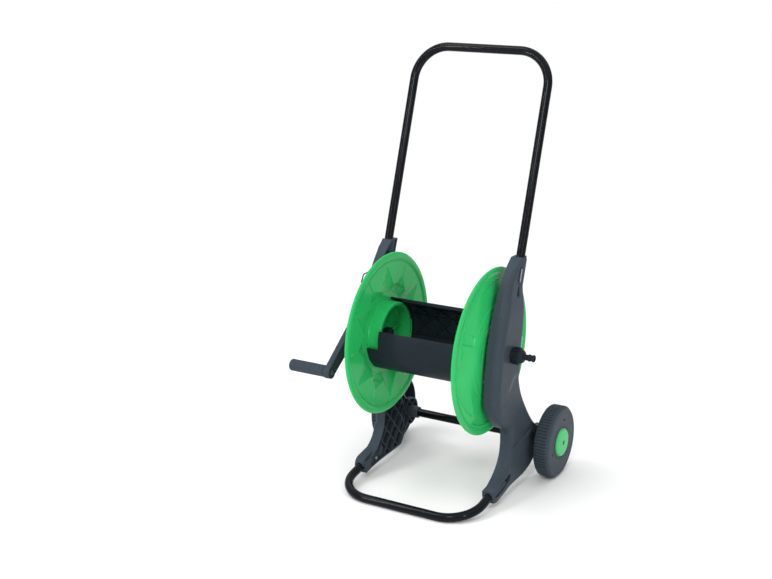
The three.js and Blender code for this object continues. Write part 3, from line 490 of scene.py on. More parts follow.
class Nodes:
    """Short calls for building one material's nodes."""

    def __init__(self, name):
        name = f"cart_{name}"
        self.material = bpy.data.materials.get(name)
        self.fresh = self.material is None
        if self.fresh:
            self.material = bpy.data.materials.new(name)
            self.material.use_nodes = True
            self.tree = self.material.node_tree
            self.shader = self.tree.nodes["Principled BSDF"]
            self.place = self.add("ShaderNodeTexCoord").outputs["Object"]

    def add(self, kind, **settings):
        node = self.tree.nodes.new(kind)
        for key, value in settings.items():
            setattr(node, key, value)
        return node

    def link(self, source, target):
        self.tree.links.new(source, target)

    def noise(self, scale, detail=3.0, rough=0.5, place=None):
        node = self.add("ShaderNodeTexNoise")
        node.inputs["Scale"].default_value = scale
        node.inputs["Detail"].default_value = detail
        node.inputs["Roughness"].default_value = rough
        self.link(place or self.place, node.inputs["Vector"])
        return node.outputs["Fac"]

    def ranged(self, source, low, high, start=0.0, end=1.0):
        node = self.add("ShaderNodeMapRange")
        ends = {"From Min": start, "From Max": end, "To Min": low, "To Max": high}
        for key, value in ends.items():
            node.inputs[key].default_value = value
        self.link(source, node.inputs["Value"])
        return node.outputs["Result"]

    def mixed(self, factor, first, second):
        """A colour mix. Each input is a socket or a plain value."""
        node = self.add("ShaderNodeMix", data_type="RGBA")
        sockets = (node.inputs[0], node.inputs[6], node.inputs[7])
        for socket, value in zip(sockets, (factor, first, second)):
            if isinstance(value, bpy.types.NodeSocket):
                self.link(value, socket)
            elif isinstance(value, float):
                socket.default_value = value
            else:
                socket.default_value = (*value, 1.0)
        return node.outputs[2]

    def maths(self, operation, first, second):
        node = self.add("ShaderNodeMath", operation=operation)
        for socket, value in zip(node.inputs, (first, second)):
            if isinstance(value, bpy.types.NodeSocket):
                self.link(value, socket)
            else:
                socket.default_value = value
        return node.outputs[0]

    def bump(self, height, strength, distance, normal=None):
        node = self.add("ShaderNodeBump")
        node.inputs["Strength"].default_value = strength
        node.inputs["Distance"].default_value = distance * MM
        self.link(height, node.inputs["Height"])
        if normal is not None:
            self.link(normal, node.inputs["Normal"])
        return node.outputs["Normal"]

    def edges(self, low=0.52, high=0.60):
        """1 along raised edges and 0 elsewhere."""
        raised = self.add("ShaderNodeNewGeometry").outputs["Pointiness"]
        return self.ranged(raised, 0.0, 1.0, low, high)


def shade(rgb, amount):
    """A colour made lighter or darker."""
    return tuple(min(1.0, channel * amount) for channel in rgb)


def moulded(name, rgb, rough, grain=0.10, coat=0.0, gloss_level=0.05, wear=0.3):
    """Moulded plastic: fine spark-eroded grain, slow gloss changes, rubbed edges and light specks."""
    make = Nodes(name)
    if not make.fresh:
        return make.material
    shader = make.shader
    cloud = make.noise(9.0, 4.0)
    speck = make.noise(420.0, 2.0)
    cloudy = make.ranged(cloud, 0.0, 1.0, 0.3, 0.7)
    tone = make.mixed(cloudy, shade(rgb, 0.93), shade(rgb, 1.07))
    tone = make.mixed(make.ranged(speck, 0.0, 0.10, 0.45, 0.75), tone, shade(rgb, 1.6))
    patches = make.ranged(make.noise(60.0, 3.0), 0.2, wear, 0.35, 0.65)
    rubbed = make.maths("MULTIPLY", make.edges(), patches)
    tone = make.mixed(rubbed, tone, shade(rgb, 1.6))
    make.link(tone, shader.inputs["Base Color"])
    gloss = make.maths("ADD", make.ranged(cloud, rough - 0.04, rough + 0.04, 0.3, 0.7),
                       make.ranged(make.noise(140.0, 5.0), -0.03, 0.03, 0.3, 0.7))
    make.link(gloss, shader.inputs["Roughness"])
    skin = make.bump(make.noise(2600.0, 2.0, 0.6), grain, 0.12)
    flow = make.bump(make.noise(9.0, 1.0), 0.3 * grain, 1.0, skin)
    make.link(flow, shader.inputs["Normal"])
    shader.inputs["Specular IOR Level"].default_value = gloss_level
    if coat > 0:
        shader.inputs["Coat Weight"].default_value = coat
        shader.inputs["Coat Roughness"].default_value = 0.12
    return make.material


def painted_tube(name, rgb):
    """Gloss enamel on bent tube, with a slight orange peel and fine rub marks."""
    make = Nodes(name)
    if not make.fresh:
        return make.material
    shader = make.shader
    cloud = make.noise(12.0, 4.0)
    make.link(make.mixed(cloud, shade(rgb, 0.8), shade(rgb, 1.35)), shader.inputs["Base Color"])
    scuff = make.ranged(make.noise(55.0, 6.0, 0.65), 0.09, 0.17, 0.4, 0.75)
    make.link(scuff, shader.inputs["Roughness"])
    make.link(make.bump(make.noise(260.0, 2.0), 0.10, 0.25), shader.inputs["Normal"])
    shader.inputs["Specular IOR Level"].default_value = 0.11
    return make.material


def drawn_steel(name, rgb):
    """Bright drawn wire and screws: fine lines along the metal and a few dull spots."""
    make = Nodes(name)
    if not make.fresh:
        return make.material
    shader = make.shader
    dull = make.noise(180.0, 4.0)
    tone = make.mixed(make.ranged(dull, 0.0, 1.0, 0.4, 0.7), rgb, shade(rgb, 0.72))
    make.link(tone, shader.inputs["Base Color"])
    make.link(make.ranged(dull, 0.22, 0.42, 0.35, 0.7), shader.inputs["Roughness"])
    make.link(make.bump(make.noise(2400.0, 2.0), 0.15, 0.05), shader.inputs["Normal"])
    shader.inputs["Metallic"].default_value = 1.0
    return make.material


def soft_rubber(name, rgb):
    """Matt rubber with a powdery bloom."""
    make = Nodes(name)
    if not make.fresh:
        return make.material
    shader = make.shader
    bloom = make.noise(240.0, 5.0)
    tone = make.mixed(make.ranged(bloom, 0.0, 0.35, 0.45, 0.8), rgb, shade(rgb, 3.0))
    make.link(tone, shader.inputs["Base Color"])
    make.link(make.ranged(bloom, 0.70, 0.88), shader.inputs["Roughness"])
    make.link(make.bump(bloom, 0.2, 0.1), shader.inputs["Normal"])
    return make.material


def finishes():
    """All the cart's materials by slot name."""
    rgb = bpy.context.scene.cart_finishes
    return {
        "slate_plastic": moulded("slate_plastic", tuple(rgb.slate), 0.35),
        "dark_plastic": moulded("dark_plastic", tuple(rgb.dark), 0.36),
        "green_plastic": moulded("green_plastic", tuple(rgb.green), 0.22, grain=0.02, coat=0.05,
                                 gloss_level=0.11, wear=0.05),
        "cap_green": moulded("cap_green", tuple(rgb.cap_green), 0.34, grain=0.05,
                             gloss_level=0.12, wear=0.1),
        "black_tube": painted_tube("black_tube", tuple(rgb.tube)),
        "bright_steel": drawn_steel("bright_steel", tuple(rgb.steel)),
        "black_rubber": soft_rubber("black_rubber", tuple(rgb.rubber)),
    }


# ---- side panels ---------------------------------------------------------------------------------


def bezier(a, b, c, d, steps):
    t = np.linspace(0, 1, steps + 1)[1:, None]
    a, b, c, d = (np.array(p, float) for p in (a, b, c, d))
    return list((1 - t) ** 3 * a + 3 * t * (1 - t) ** 2 * b + 3 * t * t * (1 - t) * c + t ** 3 * d)


def spline(points, steps):
    """A smooth line through points, without its first point."""
    points = [np.array(p, float) for p in points]
    result = []
    for i in range(len(points) - 1):
        p0, p1, p2 = points[max(i - 1, 0)], points[i], points[i + 1]
        p3 = points[min(i + 2, len(points) - 1)]
        for step in range(1, steps + 1):
            t = step / steps
            m1, m2 = (p2 - p0) / 2, (p3 - p1) / 2
            result.append((2 * p1 - 2 * p2 + m1 + m2) * t ** 3
                          + (-3 * p1 + 3 * p2 - 2 * m1 - m2) * t * t + m1 * t + p1)
    return result


FAR = 1e9
AXLE_ROUND = 31.0
GUARD_TOP = (184, 484)


def panel_outline(panels):
    """The panel's outline in Y and Z, and the edge radius wanted at each of its points."""
    line, rounds = [], []

    def run(points, first, last=None):
        last = first if last is None else last
        for i, p in enumerate(points):
            line.append(np.array(p, float))
            rounds.append(first + (last - first) * (i + 1) / len(points))

    rear, front, leg = panels.rear_round, panels.front_round, panels.leg_round
    run([(203, 498), (196, 493), GUARD_TOP], rear, 6)
    run(spline([GUARD_TOP, (154, 453), (122, 398)], 12), 7, front)
    run(spline([(122, 398), (104, 343), (91, 270), (91, 229)], 18), front)
    run(bezier((91, 229), (93, 207), (112, 183), (137, 163), 18), front, 12)
    run(bezier((137, 163), (150, 153), (171, 150), (172, 140), 12), 12, leg)
    run(bezier((172, 140), (177, 98), (170, 66), (114, 41), 30), leg, 9)
    run([(107, 40), (100, 39), (FOOT_SOCKET_Y - 2, 38)], 7, 4)
    run([(FOOT_SOCKET_Y - 0.5, 30), (FOOT_SOCKET_Y + 1, 22), (FOOT_SOCKET_Y + 3, 14)], rear)
    run(bezier((FOOT_SOCKET_Y + 3, 14), (130, 22), (180, 23), (216, 24), 30), rear)
    run(bezier((216, 24), (250, 25), (275, 30), (300, 47.5), 22), rear)
    lobe = np.radians(np.linspace(-120, 90, 40))
    run([(AXLE_Y + AXLE_ROUND * cos(a), AXLE_Z + AXLE_ROUND * sin(a)) for a in lobe], rear)
    run(bezier((AXLE_Y, AXLE_Z + AXLE_ROUND), (290, 110), (247, 160), (220, 201), 34), rear)
    run(bezier((220, 201), (203, 227), (196, 250), (196, 290), 24), rear)
    run(bezier((196, 290), (197, 330), (208, 352), (209, 400), 26), rear)
    run(bezier((209, 400), (209, 430), (210, 441), (219, 468), 18), rear)
    run([(222.5, 477.5), (226, 487), (230, 497)], rear)
    outline, rounds = np.array(line), np.array(rounds)
    for _ in range(6):
        rounds = (np.roll(rounds, 1) + 2 * rounds + np.roll(rounds, -1)) / 4
    if runs_clockwise(outline):
        outline, rounds = outline[::-1], rounds[::-1]
    return outline, rounds


def off_edge(points, start, end):
    """Each point's distance to a straight edge, and the nearest place along it from 0 to 1."""
    run = end - start
    place = np.clip(((points - start) @ run) / max((run ** 2).sum(), 1e-9), 0, 1)
    return np.linalg.norm(points - start - place[:, None] * run, axis=1), place


def edge_gap(points, outline):
    """Each point's distance to an outline."""
    best = np.full(len(points), FAR)
    for start, end in zip(outline, np.roll(outline, -1, axis=0)):
        best = np.minimum(best, off_edge(points, start, end)[0])
    return best


def edge_drop(points, outline, rounds):
    """How far the rounded rim of an outline falls at each point."""
    best = np.zeros(len(points))
    edges = zip(outline, np.roll(outline, -1, axis=0), rounds, np.roll(rounds, -1))
    for start, end, first, last in edges:
        gap, place = off_edge(points, start, end)
        radius = first + (last - first) * place
        inner = np.maximum(radius - gap, 0)
        best = np.maximum(best, radius - np.sqrt(np.maximum(radius ** 2 - inner ** 2, 0)))
    return best


def smooth_step(value, low, high):
    t = np.clip((value - low) / (high - low), 0, 1)
    return t * t * (3 - 2 * t)


def line_side(points, line):
    """Signed distance from an open line, positive on the left of its direction, and the place
    along it from 0 to 1."""
    best = np.full(len(points), FAR)
    signed, place = np.zeros(len(points)), np.zeros(len(points))
    line = [np.array(p, float) for p in line]
    for i, (a, b) in enumerate(zip(line, line[1:])):
        gap, share = off_edge(points, a, b)
        nearer = gap < best
        best[nearer] = gap[nearer]
        run = b - a
        side = np.sign(run[0] * (points[:, 1] - a[1]) - run[1] * (points[:, 0] - a[0]))
        signed[nearer] = (side * gap)[nearer]
        place[nearer] = ((i + share) / (len(line) - 1))[nearer]
    return signed, place


TOP_THINNING = 6.5
GUARD_LINE = [(200, 268), (177, 259), (155, 236), (135, 221), (118, 205), (104, 190)]
GUARD_STEP = 3.0
LEDGE_STEP = 4.2
LEDGE_SINK = 0.9
LEDGE_LINE = [(300, 121), (246, 107), (196, 100), (150, 90), (126, 80)]


def outer_face(points, drop):
    """The X of the panel's outer face at points in Y and Z."""
    y, z = points[:, 0], points[:, 1]
    x = PANEL_OUTER - TOP_THINNING * smooth_step(z, 388, 456)
    guard, along = line_side(points, GUARD_LINE)
    width = 4.5 + 26.0 * np.clip(0.75 - along, 0, 1)
    inside = smooth_step(-guard / width, -0.3, 1.0)
    x = x - GUARD_STEP * (1 - inside) * smooth_step(-z, -272, -250)
    ledge, along = line_side(points, LEDGE_LINE)
    fade = smooth_step(along, 0.0, 0.18) * smooth_step(-along, -0.97, -0.72)
    dip = np.where(ledge < 0, np.exp(ledge / 12.0) * smooth_step(-ledge, 0.0, 2.4), 0.0)
    x = x - LEDGE_STEP * dip * fade
    x = x - LEDGE_SINK * smooth_step(ledge, 0, 30) * fade
    return x - drop


AXLE_SETBACK = 14
SETBACK_START, SETBACK_RUN = 248, 44


def axle_recess(points):
    """How far the panel's open side is set back near the axle."""
    return AXLE_SETBACK * np.clip((points[:, 0] - SETBACK_START) / SETBACK_RUN, 0, 1)


def slab_mesh(outline, upper, lower, step, rings):
    """A closed slab over an outline. Upper and lower give the X of its faces at points in Y and Z,
    and rings are the distances of the rows of points along the rim."""
    rows = [outline]
    for distance in rings:
        ring = inset(outline, distance)
        rows.append(ring[edge_gap(ring, outline) > 0.97 * distance])
    margin = rings[-1] + 0.6 * step
    low, high = outline.min(axis=0), outline.max(axis=0)
    height = step * sqrt(3) / 2
    grid = np.array([(y + (step / 2 if row % 2 else 0), low[1] + row * height)
                     for row in range(int((high[1] - low[1]) / height) + 1)
                     for y in np.arange(low[0], high[0], step)])
    rows.append(grid[(edge_gap(grid, outline) > margin) & within(grid, outline)])
    points = np.vstack(rows)
    count = len(outline)
    keep = np.ones(len(points), bool)
    keep[count:] = within(points[count:], outline)
    points = points[keep]
    edges = [(i, (i + 1) % count) for i in range(count)]
    made = delaunay_2d_cdt([Vector(p) for p in points.tolist()], edges, [], 1, 1e-4)
    flat_points = np.array([tuple(p) for p in made[0]])
    triangles = [list(t) for t in made[2]]
    if len(flat_points) < count:
        raise RuntimeError("the panel's mesh lost part of its outline")
    top, bottom = upper(flat_points), lower(flat_points)
    total = len(flat_points)
    verts = np.vstack([
        np.column_stack([top, flat_points]), np.column_stack([bottom, flat_points])])
    a, b, c = (flat_points[triangles[0][i]] for i in range(3))
    if (b[0] - a[0]) * (c[1] - a[1]) - (b[1] - a[1]) * (c[0] - a[0]) < 0:
        triangles = [t[::-1] for t in triangles]
    used = dict.fromkeys((t[i], t[(i + 1) % 3]) for t in triangles for i in range(3))
    rims = [(p, q) for p, q in used if (q, p) not in used]
    faces = list(triangles)
    faces += [[i + total for i in t[::-1]] for t in triangles]
    faces += [[q, p, p + total, q + total] for p, q in rims]
    return outward((verts, faces))


def within(points, outline):
    """True for the points inside an outline."""
    y, z = points[:, 0], points[:, 1]
    inside = np.zeros(len(points), bool)
    for (y1, z1), (y2, z2) in zip(outline, np.roll(outline, -1, axis=0)):
        if z1 == z2:
            continue
        crosses = (z1 > z) != (z2 > z)
        inside ^= crosses & (y < (y2 - y1) * (z - z1) / (z2 - z1) + y1)
    return inside


PANEL_CENTRE = (180.0, 250.0)
RIB_REACH = 420
RIBS_EACH_WAY = 14


def rib_family(angle, spacing, thickness, x1, x2):
    """Parallel plates across the whole panel at one angle."""
    centre = np.array(PANEL_CENTRE)
    across = np.array([-sin(radians(angle)), cos(radians(angle))])
    along = np.array([cos(radians(angle)), sin(radians(angle))])
    ribs = []
    for k in range(-RIBS_EACH_WAY, RIBS_EACH_WAY + 1):
        at = centre + across * k * spacing
        corners = [at + along * s * RIB_REACH + across * t * thickness / 2
                   for s, t in ((-1, -1), (1, -1), (1, 1), (-1, 1))]
        ribs.append(prism(corners, x1, x2))
    return joined(*ribs)


RIB_ANGLES = (52, -48)
RIM_ROWS = [0.35, 0.9, 1.8, 3.0, 4.6, 6.6, 9.0, 11.8, 15.0, 18.5]
HOLLOW_ROWS = [1.5, 4.0, 7.5, 11.5]
FOOT_RECESS_TURN = radians(14.5)
FOOT_SLEEVE_RADIUS = 10.9
TUBE_FIT = 0.35
AXLE_FIT = 0.3
AXLE_BOSS_X = 130.0
AXLE_BOSS_RADIUS = 14.5
REEL_BOSS_RADIUS = 26.0
CLIP_HOLE_RADIUS = 2.4
CLIP_WIRE = 1.4
CLIP_STANDOFF = 16.5
CLIP_TURN = radians(43.5)
CLIP_TOP = -19.0
CLIP_LENGTH = 27.0
CLIP_END = 3.0
HOOK_WIRE = 1.25


def clip_point(along, distance):
    point = handle_point(along)
    return point + np.array([distance * cos(CLIP_TURN), -distance * sin(CLIP_TURN), 0])


def clip_corners():
    """The four corners of the handle clip's wire, which starts and ends inside the tube."""
    low = CLIP_TOP - CLIP_LENGTH
    return [clip_point(CLIP_TOP, CLIP_END), clip_point(CLIP_TOP, CLIP_STANDOFF),
            clip_point(low, CLIP_STANDOFF), clip_point(low, CLIP_END)]


def hook_corners():
    """The corners of the hose hook's wire, from inside the crank side's panel outwards."""
    return np.array([[-(PANEL_OUTER - 7), 159.0, 440.0], [-(PANEL_OUTER + 6), 150.0, 432.0],
                     [-(PANEL_OUTER + 7), 142.0, 416.0]])


def panel_shell(panels, bores):
    """The inlet side's panel with its sockets, bosses and ribs. The crank side's is its mirror."""
    outline, rounds = panel_outline(panels)
    wall = panels.wall

    def face(points):
        return outer_face(points, edge_drop(points, outline, rounds))

    def open_side(points):
        return PANEL_INNER + axle_recess(points)

    def pocket_top(points):
        return np.maximum(face(points) - wall, open_side(points) + 2)

    def pocket_floor(points):
        return np.full(len(points), PANEL_INNER - 4.0)

    solid = slab_mesh(outline, face, open_side, panels.mesh_step, RIM_ROWS)
    hollow = slab_mesh(
        inset(outline, wall), pocket_top, pocket_floor, panels.mesh_step * 1.6, HOLLOW_ROWS)
    pocket = cut_shape(hollow, [
        ("DIFFERENCE", rib_family(angle, panels.rib_spacing, panels.rib_thickness,
                                  PANEL_INNER + 1.6, PANEL_OUTER + 5)) for angle in RIB_ANGLES
    ] + [
        ("DIFFERENCE", block(PANEL_INNER - 6, PANEL_OUTER + 2,
                             FOOT_SOCKET_Y - 20, FOOT_SOCKET_Y + 24, 0, 46)),
    ])
    socket_start = FOOT_SOCKET_Y / cos(TILT)
    foot_front = foot_point(socket_start)
    foot_rear = foot_point(socket_start + FOOT_SHOWN_SEAT + 3)
    foot_boss = capsule(foot_front[1:] + (14, 3), foot_point(socket_start + 66)[1:], 17.0)
    recess = ellipse((136.0, 37.7), 38.5, 8.8, FOOT_RECESS_TURN)
    recess_end = ellipse((161.0, 43.6), 11.0, 7.8, FOOT_RECESS_TURN)
    axle_boss = softened([
        (AXLE_BOSS_X, 0), (AXLE_BOSS_X, 12.5), (PANEL_INNER + 22, AXLE_BOSS_RADIUS),
        (PANEL_OUTER - 2, AXLE_BOSS_RADIUS), (PANEL_OUTER - 2, 0)], 0.8)
    steps = [
        ("DIFFERENCE", pocket),
        ("UNION", bar(handle_point(-HANDLE_SEAT - 3), handle_point(0), SOCKET_RADIUS, 56)),
        ("UNION", prism(foot_boss, 141, PANEL_OUTER - 4, 1.5)),
        ("DIFFERENCE", prism(recess, 154.5, PANEL_OUTER + 6)),
        ("DIFFERENCE", prism(recess_end, 147.0, PANEL_OUTER + 6)),
        ("UNION", bar(foot_front, foot_rear, FOOT_SLEEVE_RADIUS, 56)),
        ("UNION", prism(circle((REEL_Y, REEL_Z), REEL_BOSS_RADIUS, 72),
                        PANEL_INNER, PANEL_OUTER - 2)),
        ("UNION", turned(axle_boss, 64, (AXLE_Y, AXLE_Z))),
        ("DIFFERENCE", bar(handle_point(-HANDLE_SEAT - 0.3), handle_point(9),
                           TUBE_RADIUS + TUBE_FIT)),
        ("DIFFERENCE", bar(foot_point(socket_start - 9),
                           foot_point(socket_start + FOOT_SHOWN_SEAT + 0.3), TUBE_RADIUS + TUBE_FIT)),
        ("DIFFERENCE", bar([AXLE_BOSS_X - 4, AXLE_Y, AXLE_Z], [PANEL_OUTER + 4, AXLE_Y, AXLE_Z],
                           TUBE_RADIUS + AXLE_FIT)),
        ("DIFFERENCE", teardrop_cutter()),
        ("DIFFERENCE", prism(circle((162, 469), 1.9, 20), PANEL_OUTER - 12, PANEL_OUTER)),
    ]
    top_in, top_out, low_out, low_in = clip_corners()
    steps += [("DIFFERENCE", bar(start, end, CLIP_HOLE_RADIUS, 24))
              for start, end in ((top_in, top_out), (low_in, low_out))]
    steps += [("DIFFERENCE", bore) for bore in bores]
    return cut_shape(solid, steps)


def circle(centre, radius, steps=64):
    return [(centre[0] + radius * cos(a), centre[1] + radius * sin(a))
            for a in np.arange(steps) * 2 * pi / steps]


def ellipse(centre, long, short, turn, steps=72):
    points = []
    for a in np.arange(steps) * 2 * pi / steps:
        u, v = long * cos(a), short * sin(a)
        points.append((centre[0] + u * cos(turn) - v * sin(turn),
                       centre[1] + u * sin(turn) + v * cos(turn)))
    return points


def teardrop_cutter():
    """The slot below the handle's clip: narrow above and wide below."""
    low, high = np.array([185.5, 428.0]), np.array([189.5, 441.0])
    outline = []
    heading = atan2(*(high - low)[::-1])
    for centre, radius, first in ((high, 3.2, heading - pi / 2), (low, 5.4, heading + pi / 2)):
        for step in range(15):
            a = first + pi * step / 14
            outline.append(centre + radius * np.array([cos(a), sin(a)]))
    return prism(outline, PANEL_OUTER - 14, PANEL_OUTER + 2)


# ---- the reel's flanges --------------------------------------------------------------------------

HUB_X = 126.0
DISH_X = 116.0
CREST_X = 113.0
RIM_OUT_X = 121.0
COLLAR_X = 100.0
COLLAR_OUTER = 67.5
COLLAR_BORE = 60.0
FLANGE_WALL = 3.0
STAR_START = 84.0
DISH_END = 151.0
LONG_ARM, SHORT_ARM, VALLEY = 146.0, 123.0, 101.0
POCKET_DEPTH = 1.6
LEAF_DEPTH = 3.0
WINDOW_DEPTH = 2.0
LEFT_BORE, RIGHT_BORE = 10.2, 18.6


def star_reach(angle):
    """How far out the pressed star reaches at an angle in degrees: six long and six short arms."""
    corners = []
    for k in range(6):
        reaches = (SHORT_ARM, VALLEY, LONG_ARM, VALLEY)
        corners += [(58 + 60 * k + 15 * turn, reach) for turn, reach in enumerate(reaches)]
    corners.sort()
    corners = [(a - 360, r) for a, r in corners] + corners + [(a + 360, r) for a, r in corners]
    starts = np.array([c[0] for c in corners])
    reach = np.array([c[1] for c in corners])
    a = np.mod(np.asarray(angle, float), 360.0)
    k = np.searchsorted(starts, a, side="right") - 1
    a1, r1, a2, r2 = starts[k], reach[k], starts[k + 1], reach[k + 1]
    turn, full = np.radians(a - a1), np.radians(a2 - a1)
    return r1 * r2 * np.sin(full) / (r1 * np.sin(turn) + r2 * np.sin(full - turn))


def relief(share, radius, angles, depth, step):
    """The X of the flange's inner side between the hub and the rim groove. Share runs from 0 at the
    hub to 1 at the star's outline."""
    deg = np.degrees(angles)
    x = HUB_X - depth * share
    sector = np.mod(deg - 118.0, 60.0) / 60.0
    tilt = sector - 0.5 + np.where(sector < 0.01, 0.5, 0.0)
    fade = np.clip((radius - STAR_START) / 12.0, 0, 1) * np.clip((153.0 - radius) / 3.0, 0, 1)
    terrace = np.mod(np.minimum(radius, 104.0) - STAR_START, 5.0) / 5.0 - 0.5
    return x + step * tilt * fade + 0.5 * terrace * smooth_step(-np.abs(radius - 94.0), -12.0, -8.0)


def pocket_depth(radius, angles):
    """Shallow trapezoid pockets near the hub, centred on each short arm."""
    deg = np.degrees(angles)
    off = np.abs(np.mod(deg - 58.0 + 30.0, 60.0) - 30.0)
    width = 9.0 + (radius - 86.0) * 0.12
    radial = smooth_step(-abs(radius - 95.0), -9.0, -7.5)
    return POCKET_DEPTH * radial * smooth_step(-off, -width, -width + 1.6)


def leaf_depth(radius, angles):
    """Long curved facets that sweep along the outer side from the rim to the hub."""
    deg = np.degrees(angles)
    along = np.mod(5.0 - deg, 60.0) / 56.0
    inside = (along > 0) & (along < 1)
    t = np.clip(along, 0, 1)
    outer = 151.5 - 12.0 * t + 3.0 * np.sin(pi * t)
    inner = outer - 30.0 * np.sin(pi * np.clip(t, 0, 1)) ** 0.75 - 0.5
    across = np.clip((outer - radius) / np.maximum(outer - inner, 0.5), 0, 1)
    cut = LEAF_DEPTH * (1 - across) * np.minimum(1, across * 14)
    return np.where(inside & (across > 0) & (across < 1), cut, 0.0)


def outer_side(radius):
    """The X of the flange's smooth outer side before its facets are cut."""
    back = HUB_X + FLANGE_WALL
    rise = np.clip((radius - STAR_START) / (150.0 - STAR_START), 0, 1)
    groove = 1.6 * smooth_step(-abs(radius - 155.0), -2.6, -0.8)
    ring = 0.9 * float(97.8 < radius < 100.2)
    return back + 1.2 - (back + 1.2 - RIM_OUT_X + 0.4) * rise - groove + ring


def window_depth(radius, angles):
    """Two shallow rectangular windows in the outer side."""
    off = np.abs(np.mod(np.degrees(angles) - 26.5 + 90.0, 180.0) - 90.0)
    return np.where((off < 4.6) & (104 < radius < 145), WINDOW_DEPTH, 0.0)


def flange_shape(reel, bore):
    """A flange on the inlet side. The crank side's is its mirror."""
    rim, back = FLANGE_RADIUS, HUB_X + FLANGE_WALL
    profile, kinds = [], []

    def add(points, kind):
        for p in points:
            profile.append((float(p[0]), float(p[1])))
            kinds.append(kind)

    add([(HUB_X, bore), (HUB_X, bore + 1), (HUB_X, 40), (HUB_X, COLLAR_BORE - 1),
         (HUB_X - 1, COLLAR_BORE), (COLLAR_X + 1, COLLAR_BORE), (COLLAR_X, COLLAR_BORE + 1),
         (COLLAR_X, COLLAR_OUTER - 1.2), (COLLAR_X + 1.2, COLLAR_OUTER), (HUB_X - 1, COLLAR_OUTER),
         (HUB_X, COLLAR_OUTER + 1), (HUB_X, 71.0), (HUB_X, 77.0)], "plain")
    add([(share, STAR_START) for share in np.linspace(0.0, 1.0, 19)], "star")
    add([(share, STAR_START) for share in np.linspace(0.0, 1.0, 15)[1:]], "dish")
    add([(DISH_X + 0.5, 151.6), (DISH_X + 0.9, 152.4), (DISH_X + 0.9, 153.6), (CREST_X + 1.1, 156.2),
         (CREST_X + 0.3, 157.6), (CREST_X, 159.6), (CREST_X, 162.4), (CREST_X + 0.35, 164.8),
         (CREST_X + 1.2, 167.2), (CREST_X + 2.4, 168.9), (CREST_X + 3.8, rim - 0.2),
         (CREST_X + 4.6, rim),
         (CREST_X + 5.6, rim - 0.15), (CREST_X + 6.6, rim - 0.9), (RIM_OUT_X - 0.8, rim - 2.4),
         (RIM_OUT_X - 0.2, rim - 4.6), (RIM_OUT_X, rim - 7.2), (RIM_OUT_X - 0.1, rim - 9.2),
         (RIM_OUT_X - 0.7, rim - 10.6), (RIM_OUT_X - 1.2, rim - 12.0)], "plain")
    add([(DISH_X + FLANGE_WALL, r) for r in np.arange(156.5, 69.0, -1.75)], "outer")
    add([(back, COLLAR_OUTER - 2), (COLLAR_X + 3.2, COLLAR_OUTER - 2.6),
         (COLLAR_X + 3.2, COLLAR_BORE + 2.4), (back - 1, COLLAR_BORE + 2.4),
         (back, COLLAR_BORE + 1.4), (back, 44), (back + 1.0, 42.5), (back + 1.0, 39.5), (back, 38),
         (back, bore + 5.5), (back + 1, bore + 4.5), (back + 3.7, bore + 4.5),
         (back + 4.5, bore + 3.7), (back + 4.5, bore + 0.8), (back + 3.9, bore)], "plain")

    def wave(number, x, radius, angles):
        kind = kinds[number]
        if kind in ("star", "dish"):
            reach = star_reach(np.degrees(angles))
            near, far, share = (STAR_START, reach, x) if kind == "star" else (reach, DISH_END, 1.0)
            radii = near + (far - near) * x
            level = relief(share, radii, angles, reel.star_depth, reel.sector_step)
            return level + pocket_depth(radii, angles) - x, radii
        if kind == "outer":
            cut = leaf_depth(radius, angles) + window_depth(radius, angles)
            return outer_side(radius) - cut - x, radius
        return 0.0, radius

    return cut_shape(turned(profile, reel.facets, (REEL_Y, REEL_Z), wave), [
        ("UNION", hub_webs()), ("DIFFERENCE", hub_holes())])


def hub_holes():
    """Small mould holes round the hub's recess, between the ribs."""
    holes = []
    for k in range(6):
        at = reel_point(47.0, 28 + 60 * k)[1:]
        holes.append(prism(circle(at, 2.6, 20), HUB_X - 2, HUB_X + FLANGE_WALL + 2))
    return joined(*holes)


def hub_webs():
    """Low webs that brace the hub inside the collar."""
    webs = []
    for k in range(6):
        angle = 58 + 60 * k
        a, b = reel_point(26, angle)[1:], reel_point(COLLAR_BORE + 1, angle)[1:]
        webs.append(prism(capsule(a, b, 1.1, 4), HUB_X - 5, HUB_X + 1))
    return joined(*webs)


# ---- drum plates ---------------------------------------------------------------------------------

PLATE_RADIUS = 75.0
PLATE_SKIN = 3.0
PLATE_DEPTH = 6.6
PLATE_START, PLATE_NOTCH, PLATE_END = -70.0, -11.0, 20.0
REAR_PLATE_END = 27.0
PLATE_HALF = COLLAR_X - 1
TAB_HALF = HUB_X - 0.3
LONG_RIBS = (-68.9, -62.0, -56.0, -22.0, 12.0)
SLANT_ENDS = (-56, -22, 12)
RIB_STARTS = (-92, -46, 0, 46)
RIB_SHIFT = 44


def sector(inner, outer, start, end, steps):
    """The outline of a curved wall round the reel's axis."""
    angles = np.linspace(start, end, steps + 1)
    far = [reel_point(outer, a)[1:] for a in angles]
    near = [reel_point(inner, a)[1:] for a in angles[::-1]]
    return far + near


def slanted_rib(x1, a1, x2, a2, thickness, inner, outer, steps=14):
    """A rib that runs across the inside of a drum plate from one place to another."""
    rings = []
    run = np.array([x2 - x1, radians(a2 - a1) * PLATE_RADIUS])
    across = np.array([-run[1], run[0]]) / np.linalg.norm(run) * thickness / 2
    for k in range(steps + 1):
        t = k / steps
        x, a = x1 + (x2 - x1) * t, a1 + (a2 - a1) * t
        turn = degrees(across[1] / PLATE_RADIUS)
        rings.append([
            reel_point(inner, a - turn, x - across[0]), reel_point(inner, a + turn, x + across[0]),
            reel_point(outer, a + turn, x + across[0]), reel_point(outer, a - turn, x - across[0])])
    return square_bar(rings)


